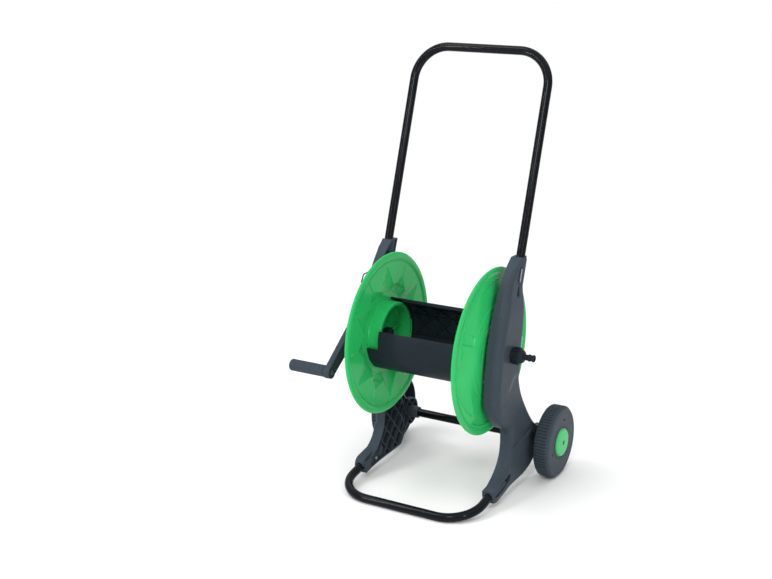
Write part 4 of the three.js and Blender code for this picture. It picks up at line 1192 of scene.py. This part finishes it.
def drum_plate(reel, turn, end):
    """A drum plate that ends at an angle, turned by `turn` degrees from the front one's place."""
    inner, foot = PLATE_RADIUS - PLATE_SKIN, PLATE_RADIUS - PLATE_DEPTH
    top, thick = inner + 0.8, reel.drum_rib

    def arc(near, far, first, last, steps, x1=-PLATE_HALF, x2=PLATE_HALF):
        return prism(sector(near, far, first + turn, last + turn, steps), x1, x2)

    def slanted(first, last):
        return joined(*[
            slanted_rib(x, first + turn, x + RIB_SHIFT, last + turn, thick, foot, top)
            for x in RIB_STARTS])

    half = degrees(thick / 2 / PLATE_RADIUS)
    long_ribs = [arc(foot, top, a - half, a + half, 1) for a in (*LONG_RIBS, end - 1.1)]
    ends = [arc(foot, top, PLATE_START + 0.4, end - 0.4, 50, x, x + thick)
            for x in (-PLATE_HALF, PLATE_HALF - thick)]
    boss_radius = PLATE_RADIUS - PLATE_DEPTH / 2 - 0.2
    boss = circle(reel_point(boss_radius, (PLATE_START + PLATE_NOTCH) / 2 + turn)[1:], 3.1, 24)
    bosses = [prism(boss, x1, x2)
              for x1, x2 in ((COLLAR_X + 5, TAB_HALF), (-TAB_HALF, -COLLAR_X - 5))]
    low, middle_rib, high = SLANT_ENDS
    return cut_shape(arc(inner, PLATE_RADIUS, PLATE_START, end, 60), [
        ("UNION", arc(inner, PLATE_RADIUS, PLATE_START, PLATE_NOTCH, 40, -TAB_HALF, TAB_HALF)),
        ("UNION", joined(*long_ribs)), ("UNION", joined(*ends)),
        ("UNION", joined(slanted(low, middle_rib), slanted(middle_rib, high))),
        ("UNION", joined(slanted(middle_rib, low), slanted(high, middle_rib))),
        ("UNION", joined(*bosses))])


# ---- screws, clips and hook ----------------------------------------------------------------------


SCREW_HEAD = 2.4
SCREW_SHANK = 12.0


def screw_shape(seat_x, direction, y, z):
    """A pan-head screw with a cross recess. Direction is the way its head points along X."""
    profile = softened([
        (-SCREW_SHANK, 0), (-SCREW_SHANK, 1.5), (0, 1.5), (0, 3.5), (1.3, 3.4), (SCREW_HEAD, 2.2),
        (SCREW_HEAD, 0)], 0.5)
    slots = [prism([(-u, -v), (u, -v), (u, v), (-u, v)], 1.2, 4)
             for u, v in ((1.9, 0.35), (0.35, 1.9))]
    shape = cut_shape(turned(profile, 40), [("DIFFERENCE", slot) for slot in slots])
    return placed(mirrored(shape) if direction < 0 else shape, (seat_x, y, z))


# ---- the crank -----------------------------------------------------------------------------------

CRANK_REACH = 122.0
CRANK_ANGLE = -35.0
ARM_IN, ARM_OUT = 193.0, 207.0
GRIP_RADIUS = 12.5
GRIP_FLUTES = 12
KNOB_LOBES = 8


def link_outline(hub, tip, hub_radius, tip_radius, steps=20):
    """An outline round two circles joined by straight sides."""
    hub, tip = np.array(hub), np.array(tip)
    gap = np.linalg.norm(tip - hub)
    heading = atan2(*(tip - hub)[::-1])
    lean = acos((hub_radius - tip_radius) / gap)
    points = []
    for step in range(steps + 1):
        a = heading + lean + (2 * pi - 2 * lean) * step / steps
        points.append(hub + hub_radius * np.array([cos(a), sin(a)]))
    for step in range(steps + 1):
        a = heading - lean + 2 * lean * step / steps
        points.append(tip + tip_radius * np.array([cos(a), sin(a)]))
    return points


def crank_shape():
    """The crank's arm with its hub, the ring round the grip's pin and the shaft into the reel."""
    hub, tip = reel_point(0, 0)[1:], reel_point(CRANK_REACH, CRANK_ANGLE)[1:]
    along = (tip - hub) / np.linalg.norm(tip - hub)
    centre = (REEL_Y, REEL_Z)
    arm = prism(link_outline(hub, tip, 17.0, 13.6), -ARM_OUT, -ARM_IN, 3.0, 5)
    hollow = link_outline(hub + along * 26, tip - along * 22, 8.5, 6.5)
    hub_ring = softened([
        (-ARM_OUT - 2.5, 0), (-ARM_OUT - 2.5, 15.6), (-ARM_OUT + 4, 17), (-ARM_IN, 17),
        (-ARM_IN, 0)], 1.6, 4)
    dimple = [(-ARM_OUT - 4, 0), (-ARM_OUT - 4, 9.5), (-ARM_OUT - 1.0, 8.5), (-ARM_OUT - 1.0, 0)]
    shaft = softened([
        (-ARM_IN - 1, 0), (-ARM_IN - 1, 15), (-169.5, 15), (-169.5, 12), (-134.2, 12), (-134.2, 10),
        (-126, 10), (-126, 5), (-112, 5), (-112, 0)], 0.5, 2)
    tip_ring = softened([
        (-ARM_OUT - 1.5, 0), (-ARM_OUT - 1.5, 13.4), (-ARM_OUT + 3, 14), (-ARM_IN, 13.6),
        (-ARM_IN, 0)], 1.2)
    pin_hole = bar([-ARM_IN + 1, *tip], [-ARM_OUT - 4, *tip], 4.3, 32)
    return cut_shape(arm, [
        ("DIFFERENCE", prism(hollow, -ARM_OUT - 2, -ARM_OUT + 1.6)),
        ("UNION", turned(hub_ring, 96, centre)), ("UNION", turned(tip_ring, 80, tuple(tip))),
        ("UNION", turned(shaft, 72, centre)), ("DIFFERENCE", turned(dimple, 72, centre)),
        ("DIFFERENCE", pin_hole)])


def grip_shape():
    """A turned grip with shallow lengthwise flutes and a smooth band at each end."""
    low, high = span("crank_grip")
    start, end = -high[0], -low[0]
    bore, pocket, full = 4.6, 6.6, GRIP_RADIUS
    profile = [
        (start, bore), (start, full - 1.6), (start + 0.7, full - 0.6), (start + 2, full),
        (start + 7, full), (start + 8, full - 0.3), (start + 10, full)]
    profile += [(start + 10 + (end - start - 19) * t, full) for t in np.linspace(0.03, 0.97, 8)]
    profile += [
        (end - 9, full), (end - 7.5, full - 0.3), (end - 6.5, full), (end - 3, full),
        (end - 1.2, full - 1.0), (end - 0.3, full - 2.2), (end, full - 3.2), (end, pocket),
        (end - 11, pocket), (end - 11, bore)]

    def wave(number, x, radius, angles):
        fluted = start + 9.9 < -x < end - 8.9 and radius > full - 0.2
        cut = 1.15 * (0.5 + 0.5 * np.cos(angles * GRIP_FLUTES)) ** 1.5 if fluted else 0.0
        return 0.0, radius - cut

    return turned([(-x, r) for x, r in profile], 144, (GRIP[1], GRIP[2]), wave)


def grip_cap_shape():
    low, high = (corner[0] for corner in span("grip_cap"))
    profile = softened(
        [(high, 0), (high, 6.2), (low + 0.9, 6.2), (low + 0.2, 4.6), (low, 0)], 0.4)
    return turned(profile, 64, (GRIP[1], GRIP[2]))


def knob_shape():
    """The lobed nut that holds the crank's shaft inside the hub."""
    low, high = (corner[0] for corner in span("crank_nut"))
    bore = 5.3
    profile = [
        (low + 0.2, bore), (low + 0.2, 9.0), (low + 1.0, 11.0), (low + 2.5, 11.9), (high - 3, 11.9),
        (high - 1.2, 11.4), (high, 9.6), (high, 0), (low + 8, 0), (low + 8, bore)]

    def wave(number, x, radius, angles):
        cut = 1.7 * (0.5 + 0.5 * np.cos(angles * KNOB_LOBES)) if radius > 10.5 else 0.0
        return 0.0, radius - cut

    return turned(profile, 128, (REEL_Y, REEL_Z), wave)


# ---- water fittings ------------------------------------------------------------------------------

NUT_LENGTH = 16.4
NUT_RADIUS = 17.35
NUT_TEETH = 24
CONNECTOR_LENGTH = 46.4
OUTLET_X, OUTLET_ANGLE, OUTLET_START = 92.0, 65, 19.0


def connector_shape(start):
    """A hose connector along X: ribbed nut, stepped shoulder and snap-in nipple."""
    bore, nipple, neck, waterway = 13.6, 7.2, 5.9, 4.5
    nut, radius, end = NUT_LENGTH, NUT_RADIUS, CONNECTOR_LENGTH
    shoulder = nut + 8
    groove = (end - shoulder) / 5
    first, second = shoulder + 2 * groove, shoulder + 3 * groove
    third, last = shoulder + 3.2 * groove, shoulder + 4 * groove
    profile = [
        (0, bore), (0, radius - 1.6), (0.8, radius - 1.1), (2.2, radius), (4, radius), (8, radius),
        (12, radius), (nut - 1.2, radius), (nut - 0.2, radius - 1.4), (nut, radius - 2.8),
        (nut + 0.6, radius - 3.4), (nut + 2.6, radius - 3.6), (nut + 4.2, radius - 4.4),
        (shoulder - 2, radius - 5.2), (shoulder - 0.8, radius - 6.4), (shoulder, neck + 1.2),
        (shoulder + 0.6, neck), (first - 0.5, neck), (first, nipple - 0.6), (first + 0.6, nipple),
        (second - 0.4, nipple), (second + 0.4, nipple - 0.6), (third, neck), (last - 0.3, neck),
        (last, nipple - 0.5), (last + 0.5, nipple), (end - 1.2, nipple), (end - 0.3, nipple - 0.7),
        (end, nipple - 1.5), (end, waterway), (nut + 0.5, waterway), (nut + 0.5, bore)]

    def wave(number, x, r, angles):
        if r < radius - 0.2 or x > start + nut:
            return 0.0, r
        return 0.0, r - 1.7 * smooth_step(np.cos(angles * NUT_TEETH), 0.0, 0.5)

    return turned([(x + start, r) for x, r in profile], 13 * NUT_TEETH, (0.0, 0.0), wave)


# ---- wheels --------------------------------------------------------------------------------------


def wheel_shape(wheels):
    """The inlet side's wheel. The crank side's is its mirror."""
    radius, inner, outer = WHEEL_RADIUS, WHEEL_IN, WHEEL_OUT
    web_out = outer - 5.5
    web = web_out - 3
    face_back = outer - 3
    rim_bore = radius - 5.5
    seat = 30.7
    bore, hub = TUBE_RADIUS + 0.6, 15.0
    profile = [
        (inner + 1.8, bore), (web_out, bore), (web_out, seat - 1), (web_out, seat),
        (outer - 0.8, seat), (outer, seat + 0.9), (outer, 34.5), (outer - 0.5, 35.2),
        (outer - 0.5, 36.6), (outer, 37.3), (outer, radius - 13.0), (outer - 0.35, radius - 12.4),
        (outer - 0.35, radius - 11.4), (outer, radius - 10.8), (outer, radius - 6.2),
        (outer - 0.4, radius - 5.0), (outer - 2.2, radius - 3.1), (outer - 3.4, radius - 1.7),
        (outer - 4.6, radius - 0.5), (outer - 6, radius), (outer - 9, radius), (outer - 16, radius),
        (inner + 9, radius), (inner + 4.6, radius), (inner + 3.2, radius - 0.5),
        (inner + 1.6, radius - 1.6), (inner + 0.4, radius - 3.0), (inner, radius - 4.2),
        (inner, rim_bore + 0.6), (inner + 0.5, rim_bore), (face_back - 4, rim_bore),
        (face_back, rim_bore - 3.5), (face_back, seat + 3.5), (web, seat + 3.5), (web, hub),
        (inner + 2.4, hub), (inner + 1.8, hub - 0.6)]

    def wave(number, x, r, angles):
        depth = smooth_step(r, radius - 2.4, radius - 0.4)
        groove = smooth_step(np.cos(angles * wheels.ribs), 0.10, 0.62)
        return 0.0, r - wheels.rib_depth * depth * groove

    body = turned(profile, wheels.ribs * 8, (AXLE_Y, AXLE_Z), wave)
    ribs, slots, dots = [], [], []
    for k in range(wheels.spokes):
        a = radians(30 + 360 * k / wheels.spokes)
        start, end = ((AXLE_Y + r * cos(a), AXLE_Z + r * sin(a)) for r in (13.5, rim_bore + 1.0))
        ribs.append(prism(capsule(start, end, 1.2, 4), inner + 8, face_back + 1))
    for angle in (105, 225, 345):
        at = radians(angle)
        centre = np.array([AXLE_Y - 0.62 * radius * cos(at), AXLE_Z + 0.62 * radius * sin(at)])
        across = np.array([sin(at), cos(at)])
        slot = capsule(centre - across * 2.2, centre + across * 2.2, 1.9, 8)
        slots.append(prism(slot, face_back - 8, outer + 2))
        dots.append(prism(circle(tuple(centre + across * 8.5), 1.2, 16), outer - 1.2, outer + 2))
    hub_clear = bar([inner, AXLE_Y, AXLE_Z], [web_out + 1, AXLE_Y, AXLE_Z], bore, 64)
    return cut_shape(body, [("UNION", joined(*ribs)), ("DIFFERENCE", hub_clear),
                            ("DIFFERENCE", joined(*slots)), ("DIFFERENCE", joined(*dots))])


def cap_shape():
    """The inlet side's hub cap, slightly crowned, with a small oval hole."""
    low, high = span("hub_cap_right")
    back, face, radius = low[0], high[0], (high - low)[2] / 2
    profile = [
        (back, radius - 2), (back, radius), (WHEEL_OUT + 0.6, radius),
        (WHEEL_OUT + 2.2, radius - 0.35), (face - 2.0, radius - 1.4), (face - 1.1, radius - 2.6),
        (face - 0.7, radius - 4.4),
        (face - 0.45, radius - 9), (face - 0.15, radius - 17), (face, 6), (face, 0),
        (face - 1.1, 0), (face - 2.2, radius - 7), (WHEEL_OUT, radius - 2)]
    cap = turned(profile, 128, (AXLE_Y, AXLE_Z))
    hole = capsule((AXLE_Y - 0.4, AXLE_Z - 1.0), (AXLE_Y + 0.4, AXLE_Z + 1.0), 4.2, 12)
    return cut_shape(cap, [("DIFFERENCE", prism(hole, face - 4, face + 2))])


# ---- operators -----------------------------------------------------------------------------------

CAMERA_LENS, CAMERA_SENSOR = 60.01, 36.0
CAMERA_PLACE = (1.14891, -2.04875, 1.14242)
CAMERA_TURN = (73.84, 0.0, 29.96)
SUN_POWER, SUN_SPREAD = 0.60, radians(22)
SUN_HEADING = (0.42, 0.30, -0.86)
LIGHT_TARGET = (0.0, 0.17, 0.40)


class CART_OT_stage(bpy.types.Operator):
    """Make the floor, the lights and the camera"""

    bl_idname = "cart.stage"
    bl_label = "Stage"

    def execute(self, context):
        settings = context.scene.cart_stage
        context.scene.view_settings.view_transform = "Standard"
        reach = 60.0
        corners = [(-reach, -reach, 0), (reach, -reach, 0), (reach, reach, 0), (-reach, reach, 0)]
        mesh = bpy.data.meshes.new("floor")
        mesh.from_pydata(corners, [], [(0, 1, 2, 3)])
        floor = bpy.data.objects.new("floor", mesh)
        context.scene.collection.objects.link(floor)
        make = Nodes("pale_floor")
        make.shader.inputs["Roughness"].default_value = 0.95
        make.shader.inputs["Specular IOR Level"].default_value = 0.0
        tone = tuple(settings.floor)
        tone = make.mixed(make.noise(0.8, 3.0), shade(tone, 0.995), shade(tone, 1.005))
        make.link(tone, make.shader.inputs["Base Color"])
        mesh.materials.append(make.material)
        self.sky(context, settings)
        self.lights(context, settings)
        self.camera(context)
        return {"FINISHED"}

    @staticmethod
    def sky(context, settings):
        """A studio ceiling that is bright overhead and dim at the horizon."""
        world = bpy.data.worlds.new("studio")
        context.scene.world = world
        world.use_nodes = True
        tree = world.node_tree
        background = tree.nodes["Background"]
        background.inputs["Color"].default_value = (1, 1, 1, 1)
        place = tree.nodes.new("ShaderNodeTexCoord")
        parts = tree.nodes.new("ShaderNodeSeparateXYZ")
        ramp = tree.nodes.new("ShaderNodeMapRange")
        ends = {"From Min": 0.0, "From Max": 1.0, "To Min": 0.30, "To Max": 1.50}
        for key, value in ends.items():
            ramp.inputs[key].default_value = value
        scale = tree.nodes.new("ShaderNodeMath")
        scale.operation = "MULTIPLY"
        scale.inputs[1].default_value = settings.sky
        tree.links.new(place.outputs["Generated"], parts.inputs[0])
        tree.links.new(parts.outputs["Z"], ramp.inputs["Value"])
        tree.links.new(ramp.outputs["Result"], scale.inputs[0])
        tree.links.new(scale.outputs[0], background.inputs["Strength"])

    @staticmethod
    def lights(context, settings):
        def area(name, location, size, size_y, power):
            light = bpy.data.lights.new(name, "AREA")
            light.shape = "RECTANGLE"
            light.size, light.size_y, light.energy = size, size_y, power
            made = bpy.data.objects.new(name, light)
            made.location = location
            heading = Vector(LIGHT_TARGET) - Vector(location)
            made.rotation_euler = heading.to_track_quat("-Z", "Y").to_euler()
            context.scene.collection.objects.link(made)

        area("key_light", (0.7, -2.3, 2.2), 0.7, 0.7, settings.key)
        area("strip_right", (1.75, -0.95, 0.75), 0.05, 1.5, settings.strip)
        area("strip_left", (-1.3, -1.9, 1.3), 0.05, 1.6, settings.strip * 1.6)
        sun = bpy.data.lights.new("sun", "SUN")
        sun.energy, sun.angle = SUN_POWER, SUN_SPREAD
        made = bpy.data.objects.new("sun", sun)
        made.rotation_euler = Vector(SUN_HEADING).to_track_quat("-Z", "Y").to_euler()
        context.scene.collection.objects.link(made)

    @staticmethod
    def camera(context):
        data = bpy.data.cameras.new("camera")
        data.lens, data.sensor_width = CAMERA_LENS, CAMERA_SENSOR
        camera = bpy.data.objects.new("camera", data)
        camera.location = CAMERA_PLACE
        camera.rotation_euler = Euler([radians(turn) for turn in CAMERA_TURN])
        context.scene.collection.objects.link(camera)
        context.scene.camera = camera


class CART_OT_tubes(bpy.types.Operator):
    """Make the handle, foot and axle tubes"""

    bl_idname = "cart.tubes"
    bl_label = "Frame tubes"

    def execute(self, context):
        bore = TUBE_RADIUS - TUBE_WALL
        top = (HANDLE_TOP_Z - SOCKET_TOP[1]) / cos(LEAN)
        reach = FOOT_SOCKET_Y / cos(TILT) + FOOT_SHOWN_SEAT
        handle = [handle_point(-HANDLE_SEAT), handle_point(top), handle_point(top, -LEG_X),
                  handle_point(-HANDLE_SEAT, -LEG_X)]
        foot = [foot_point(reach), foot_point(0), foot_point(0, -LEG_X), foot_point(reach, -LEG_X)]
        for name, corners in (("handle", handle), ("foot", foot)):
            tube = swept(bend_line(corners, TUBE_BEND, 20), TUBE_RADIUS, 40, bore)
            piece(f"{name}_bar", tube, "black_tube", "frame", f"{name}_tube")
        low, high = span("axle_tube")
        axle = swept([(low[0], AXLE_Y, AXLE_Z), (high[0], AXLE_Y, AXLE_Z)], TUBE_RADIUS, 48, bore)
        piece("axle_bar", axle, "black_tube", "frame", "axle_tube")
        return {"FINISHED"}


class CART_OT_panels(bpy.types.Operator):
    """Make the two ribbed side panels"""

    bl_idname = "cart.panels"
    bl_label = "Side panels"

    def execute(self, context):
        panels = context.scene.cart_panels

        def reel_bore(start, end, radius):
            return bar([start, REEL_Y, REEL_Z], [end, REEL_Y, REEL_Z], radius, 72)

        inlet_bores = [reel_bore(PANEL_INNER - 3, PANEL_OUTER - 6, 18.2),
                       reel_bore(PANEL_INNER, PANEL_OUTER + 3, 13.5)]
        hook = hook_corners() * (-1, 1, 1)
        crank_bores = [reel_bore(PANEL_INNER - 3, PANEL_OUTER + 3, 16.0),
                       bar(hook[0] - (1, 0, 0), hook[1], 1.9, 24)]
        shapes = both_sides(panel_shell(panels, inlet_bores), panel_shell(panels, crank_bores))
        for side, shape in shapes:
            piece(f"panel_{side}", shape, "slate_plastic", "frame", f"{side}_panel")
        return {"FINISHED"}


class CART_OT_clips(bpy.types.Operator):
    """Make the spring clips and the hose hook"""

    bl_idname = "cart.clips"
    bl_label = "Clips and hook"

    def execute(self, context):
        for side, shape in both_sides(swept(bend_line(clip_corners(), 3.0, 8), CLIP_WIRE, 20)):
            piece(f"clip_{side}", shape, "bright_steel", "frame", f"handle_clip_{side}")
        hook = swept(bend_line(hook_corners(), 5.0, 10), HOOK_WIRE, 20)
        piece("hook", hook, "dark_plastic", "frame", "hose_hook")
        return {"FINISHED"}


class CART_OT_screws(bpy.types.Operator):
    """Make the screws that hold the foot and the drum plates"""

    bl_idname = "cart.screws"
    bl_label = "Screws"

    def execute(self, context):
        for word, side in (("left", -1), ("right", 1)):
            self.screw(f"screw_foot_{word}", "frame", f"foot_screw_{word}", -side)
            for place in ("front", "rear"):
                self.screw(f"screw_{place}_{word}", "reel", f"drum_screw_{place}_{word}", side)
        return {"FINISHED"}

    @staticmethod
    def screw(name, body, node, direction):
        low, high = span(node)
        _, y, z = (low + high) / 2
        seat = high[0] - SCREW_HEAD if direction > 0 else low[0] + SCREW_HEAD
        piece(name, screw_shape(seat, direction, y, z), "bright_steel", body, node)


class CART_OT_flanges(bpy.types.Operator):
    """Make the two pressed flanges of the reel"""

    bl_idname = "cart.flanges"
    bl_label = "Flanges"

    def execute(self, context):
        reel = context.scene.cart_reel
        for side, shape in both_sides(flange_shape(reel, RIGHT_BORE), flange_shape(reel, LEFT_BORE)):
            piece(f"reel_flange_{side}", shape, "green_plastic", "reel", f"flange_{side}", 8)
        return {"FINISHED"}


class CART_OT_drum(bpy.types.Operator):
    """Make the two ribbed plates of the drum"""

    bl_idname = "cart.drum"
    bl_label = "Drum plates"

    def execute(self, context):
        reel = context.scene.cart_reel
        for name, turn, end in (("front", 0, PLATE_END), ("rear", 180, REAR_PLATE_END)):
            plate = drum_plate(reel, turn, end)
            piece(f"drum_{name}", plate, "dark_plastic", "reel", f"drum_plate_{name}")
        return {"FINISHED"}


class CART_OT_crank(bpy.types.Operator):
    """Make the crank arm, its knob and the turning grip"""

    bl_idname = "cart.crank"
    bl_label = "Crank"

    def execute(self, context):
        piece("arm", crank_shape(), "slate_plastic", "reel", "crank_arm")
        piece("knob", knob_shape(), "dark_plastic", "reel", "crank_nut")
        piece("grip", grip_shape(), "slate_plastic", "grip", "crank_grip")
        piece("grip_plug", grip_cap_shape(), "slate_plastic", "grip", "grip_cap")
        return {"FINISHED"}


class CART_OT_fittings(bpy.types.Operator):
    """Make the two hose connectors"""

    bl_idname = "cart.fittings"
    bl_label = "Water fittings"

    def execute(self, context):
        inlet = placed(connector_shape(span("inlet_connector")[0][0]), (0, REEL_Y, REEL_Z))
        piece("connector_inlet", inlet, "dark_plastic", "frame", "inlet_connector")
        out = Vector(reel_point(1, OUTLET_ANGLE)) - Vector((0, REEL_Y, REEL_Z))
        turn = Vector((1, 0, 0)).rotation_difference(out).to_matrix().to_4x4()
        place = Matrix.Translation((OUTLET_X, REEL_Y, REEL_Z)) @ turn
        outlet = moved(connector_shape(OUTLET_START), place)
        piece("connector_hose", outlet, "dark_plastic", "reel", "hose_connector")
        return {"FINISHED"}


class CART_OT_wheels(bpy.types.Operator):
    """Make the two treaded wheels"""

    bl_idname = "cart.wheels"
    bl_label = "Wheels"

    def execute(self, context):
        for side, shape in both_sides(wheel_shape(context.scene.cart_wheels)):
            piece(f"tyre_{side}", shape, "slate_plastic", f"{side}_wheel", f"wheel_{side}", 28)
        return {"FINISHED"}


class CART_OT_caps(bpy.types.Operator):
    """Make the two hub caps"""

    bl_idname = "cart.caps"
    bl_label = "Hub caps"

    def execute(self, context):
        for side, shape in both_sides(cap_shape()):
            piece(f"cap_{side}", shape, "cap_green", f"{side}_wheel", f"hub_cap_{side}")
        return {"FINISHED"}


class CART_OT_kept(bpy.types.Operator):
    """Give the CAD pieces that stay in view their finishes"""

    bl_idname = "cart.kept"
    bl_label = "Kept pieces"

    def execute(self, context):
        made = finishes()
        slots = {m["slot"] for m in frame["record"]["materials"]}
        kept = {
            "bright_steel": ["axle_ring_left", "axle_ring_right", "grip_pin"],
            "dark_plastic": ["crank_bush", "inlet_bush", "inlet_stem", "swivel_elbow", "lock_sleeve"],
            "black_rubber": ["inlet_washer", "hose_washer", "o_ring_1", "o_ring_2"],
        }
        for slot, nodes in kept.items():
            if slot not in slots:
                raise RuntimeError(f"the record has no slot named {slot}")
            for name in nodes:
                node = frame["nodes"][name]
                node.data.materials.clear()
                node.data.materials.append(made[slot])
                soft = node.modifiers.new("soft_edges", "BEVEL")
                soft.width, soft.segments, soft.limit_method = 0.3 * MM, 2, "ANGLE"
                soft.angle_limit = radians(40)
        return {"FINISHED"}


class CART_PT_sidebar(bpy.types.Panel):
    """The cart's settings and the steps that build it"""

    bl_idname = "CART_PT_sidebar"
    bl_label = "Hose Cart"
    bl_space_type = "VIEW_3D"
    bl_region_type = "UI"
    bl_category = "Hose Cart"

    def draw(self, context):
        for step in STEPS:
            self.layout.operator(step.bl_idname)
        for name in SETTINGS:
            group = getattr(context.scene, name)
            box = self.layout.box()
            box.label(text=name.replace("_", " ").title())
            for key in group.__annotations__:
                box.prop(group, key)


STEPS = (CART_OT_stage, CART_OT_tubes, CART_OT_panels, CART_OT_clips, CART_OT_screws, CART_OT_flanges,
         CART_OT_drum, CART_OT_crank, CART_OT_fittings, CART_OT_wheels, CART_OT_caps, CART_OT_kept)
SETTINGS = {"cart_finishes": CartFinishes, "cart_panels": CartPanels, "cart_reel": CartReel,
            "cart_wheels": CartWheels, "cart_stage": CartStage}
CLASSES = (*SETTINGS.values(), *STEPS, CART_PT_sidebar)


def register():
    for cls in CLASSES:
        bpy.utils.register_class(cls)
    for name, group in SETTINGS.items():
        setattr(bpy.types.Scene, name, PointerProperty(type=group))


def unregister():
    for name in SETTINGS:
        delattr(bpy.types.Scene, name)
    for cls in reversed(CLASSES):
        bpy.utils.unregister_class(cls)


def main():
    register()
    for step in STEPS:
        area, name = step.bl_idname.split(".")
        getattr(getattr(bpy.ops, area), name)()


if __name__ == "__main__":
    main()
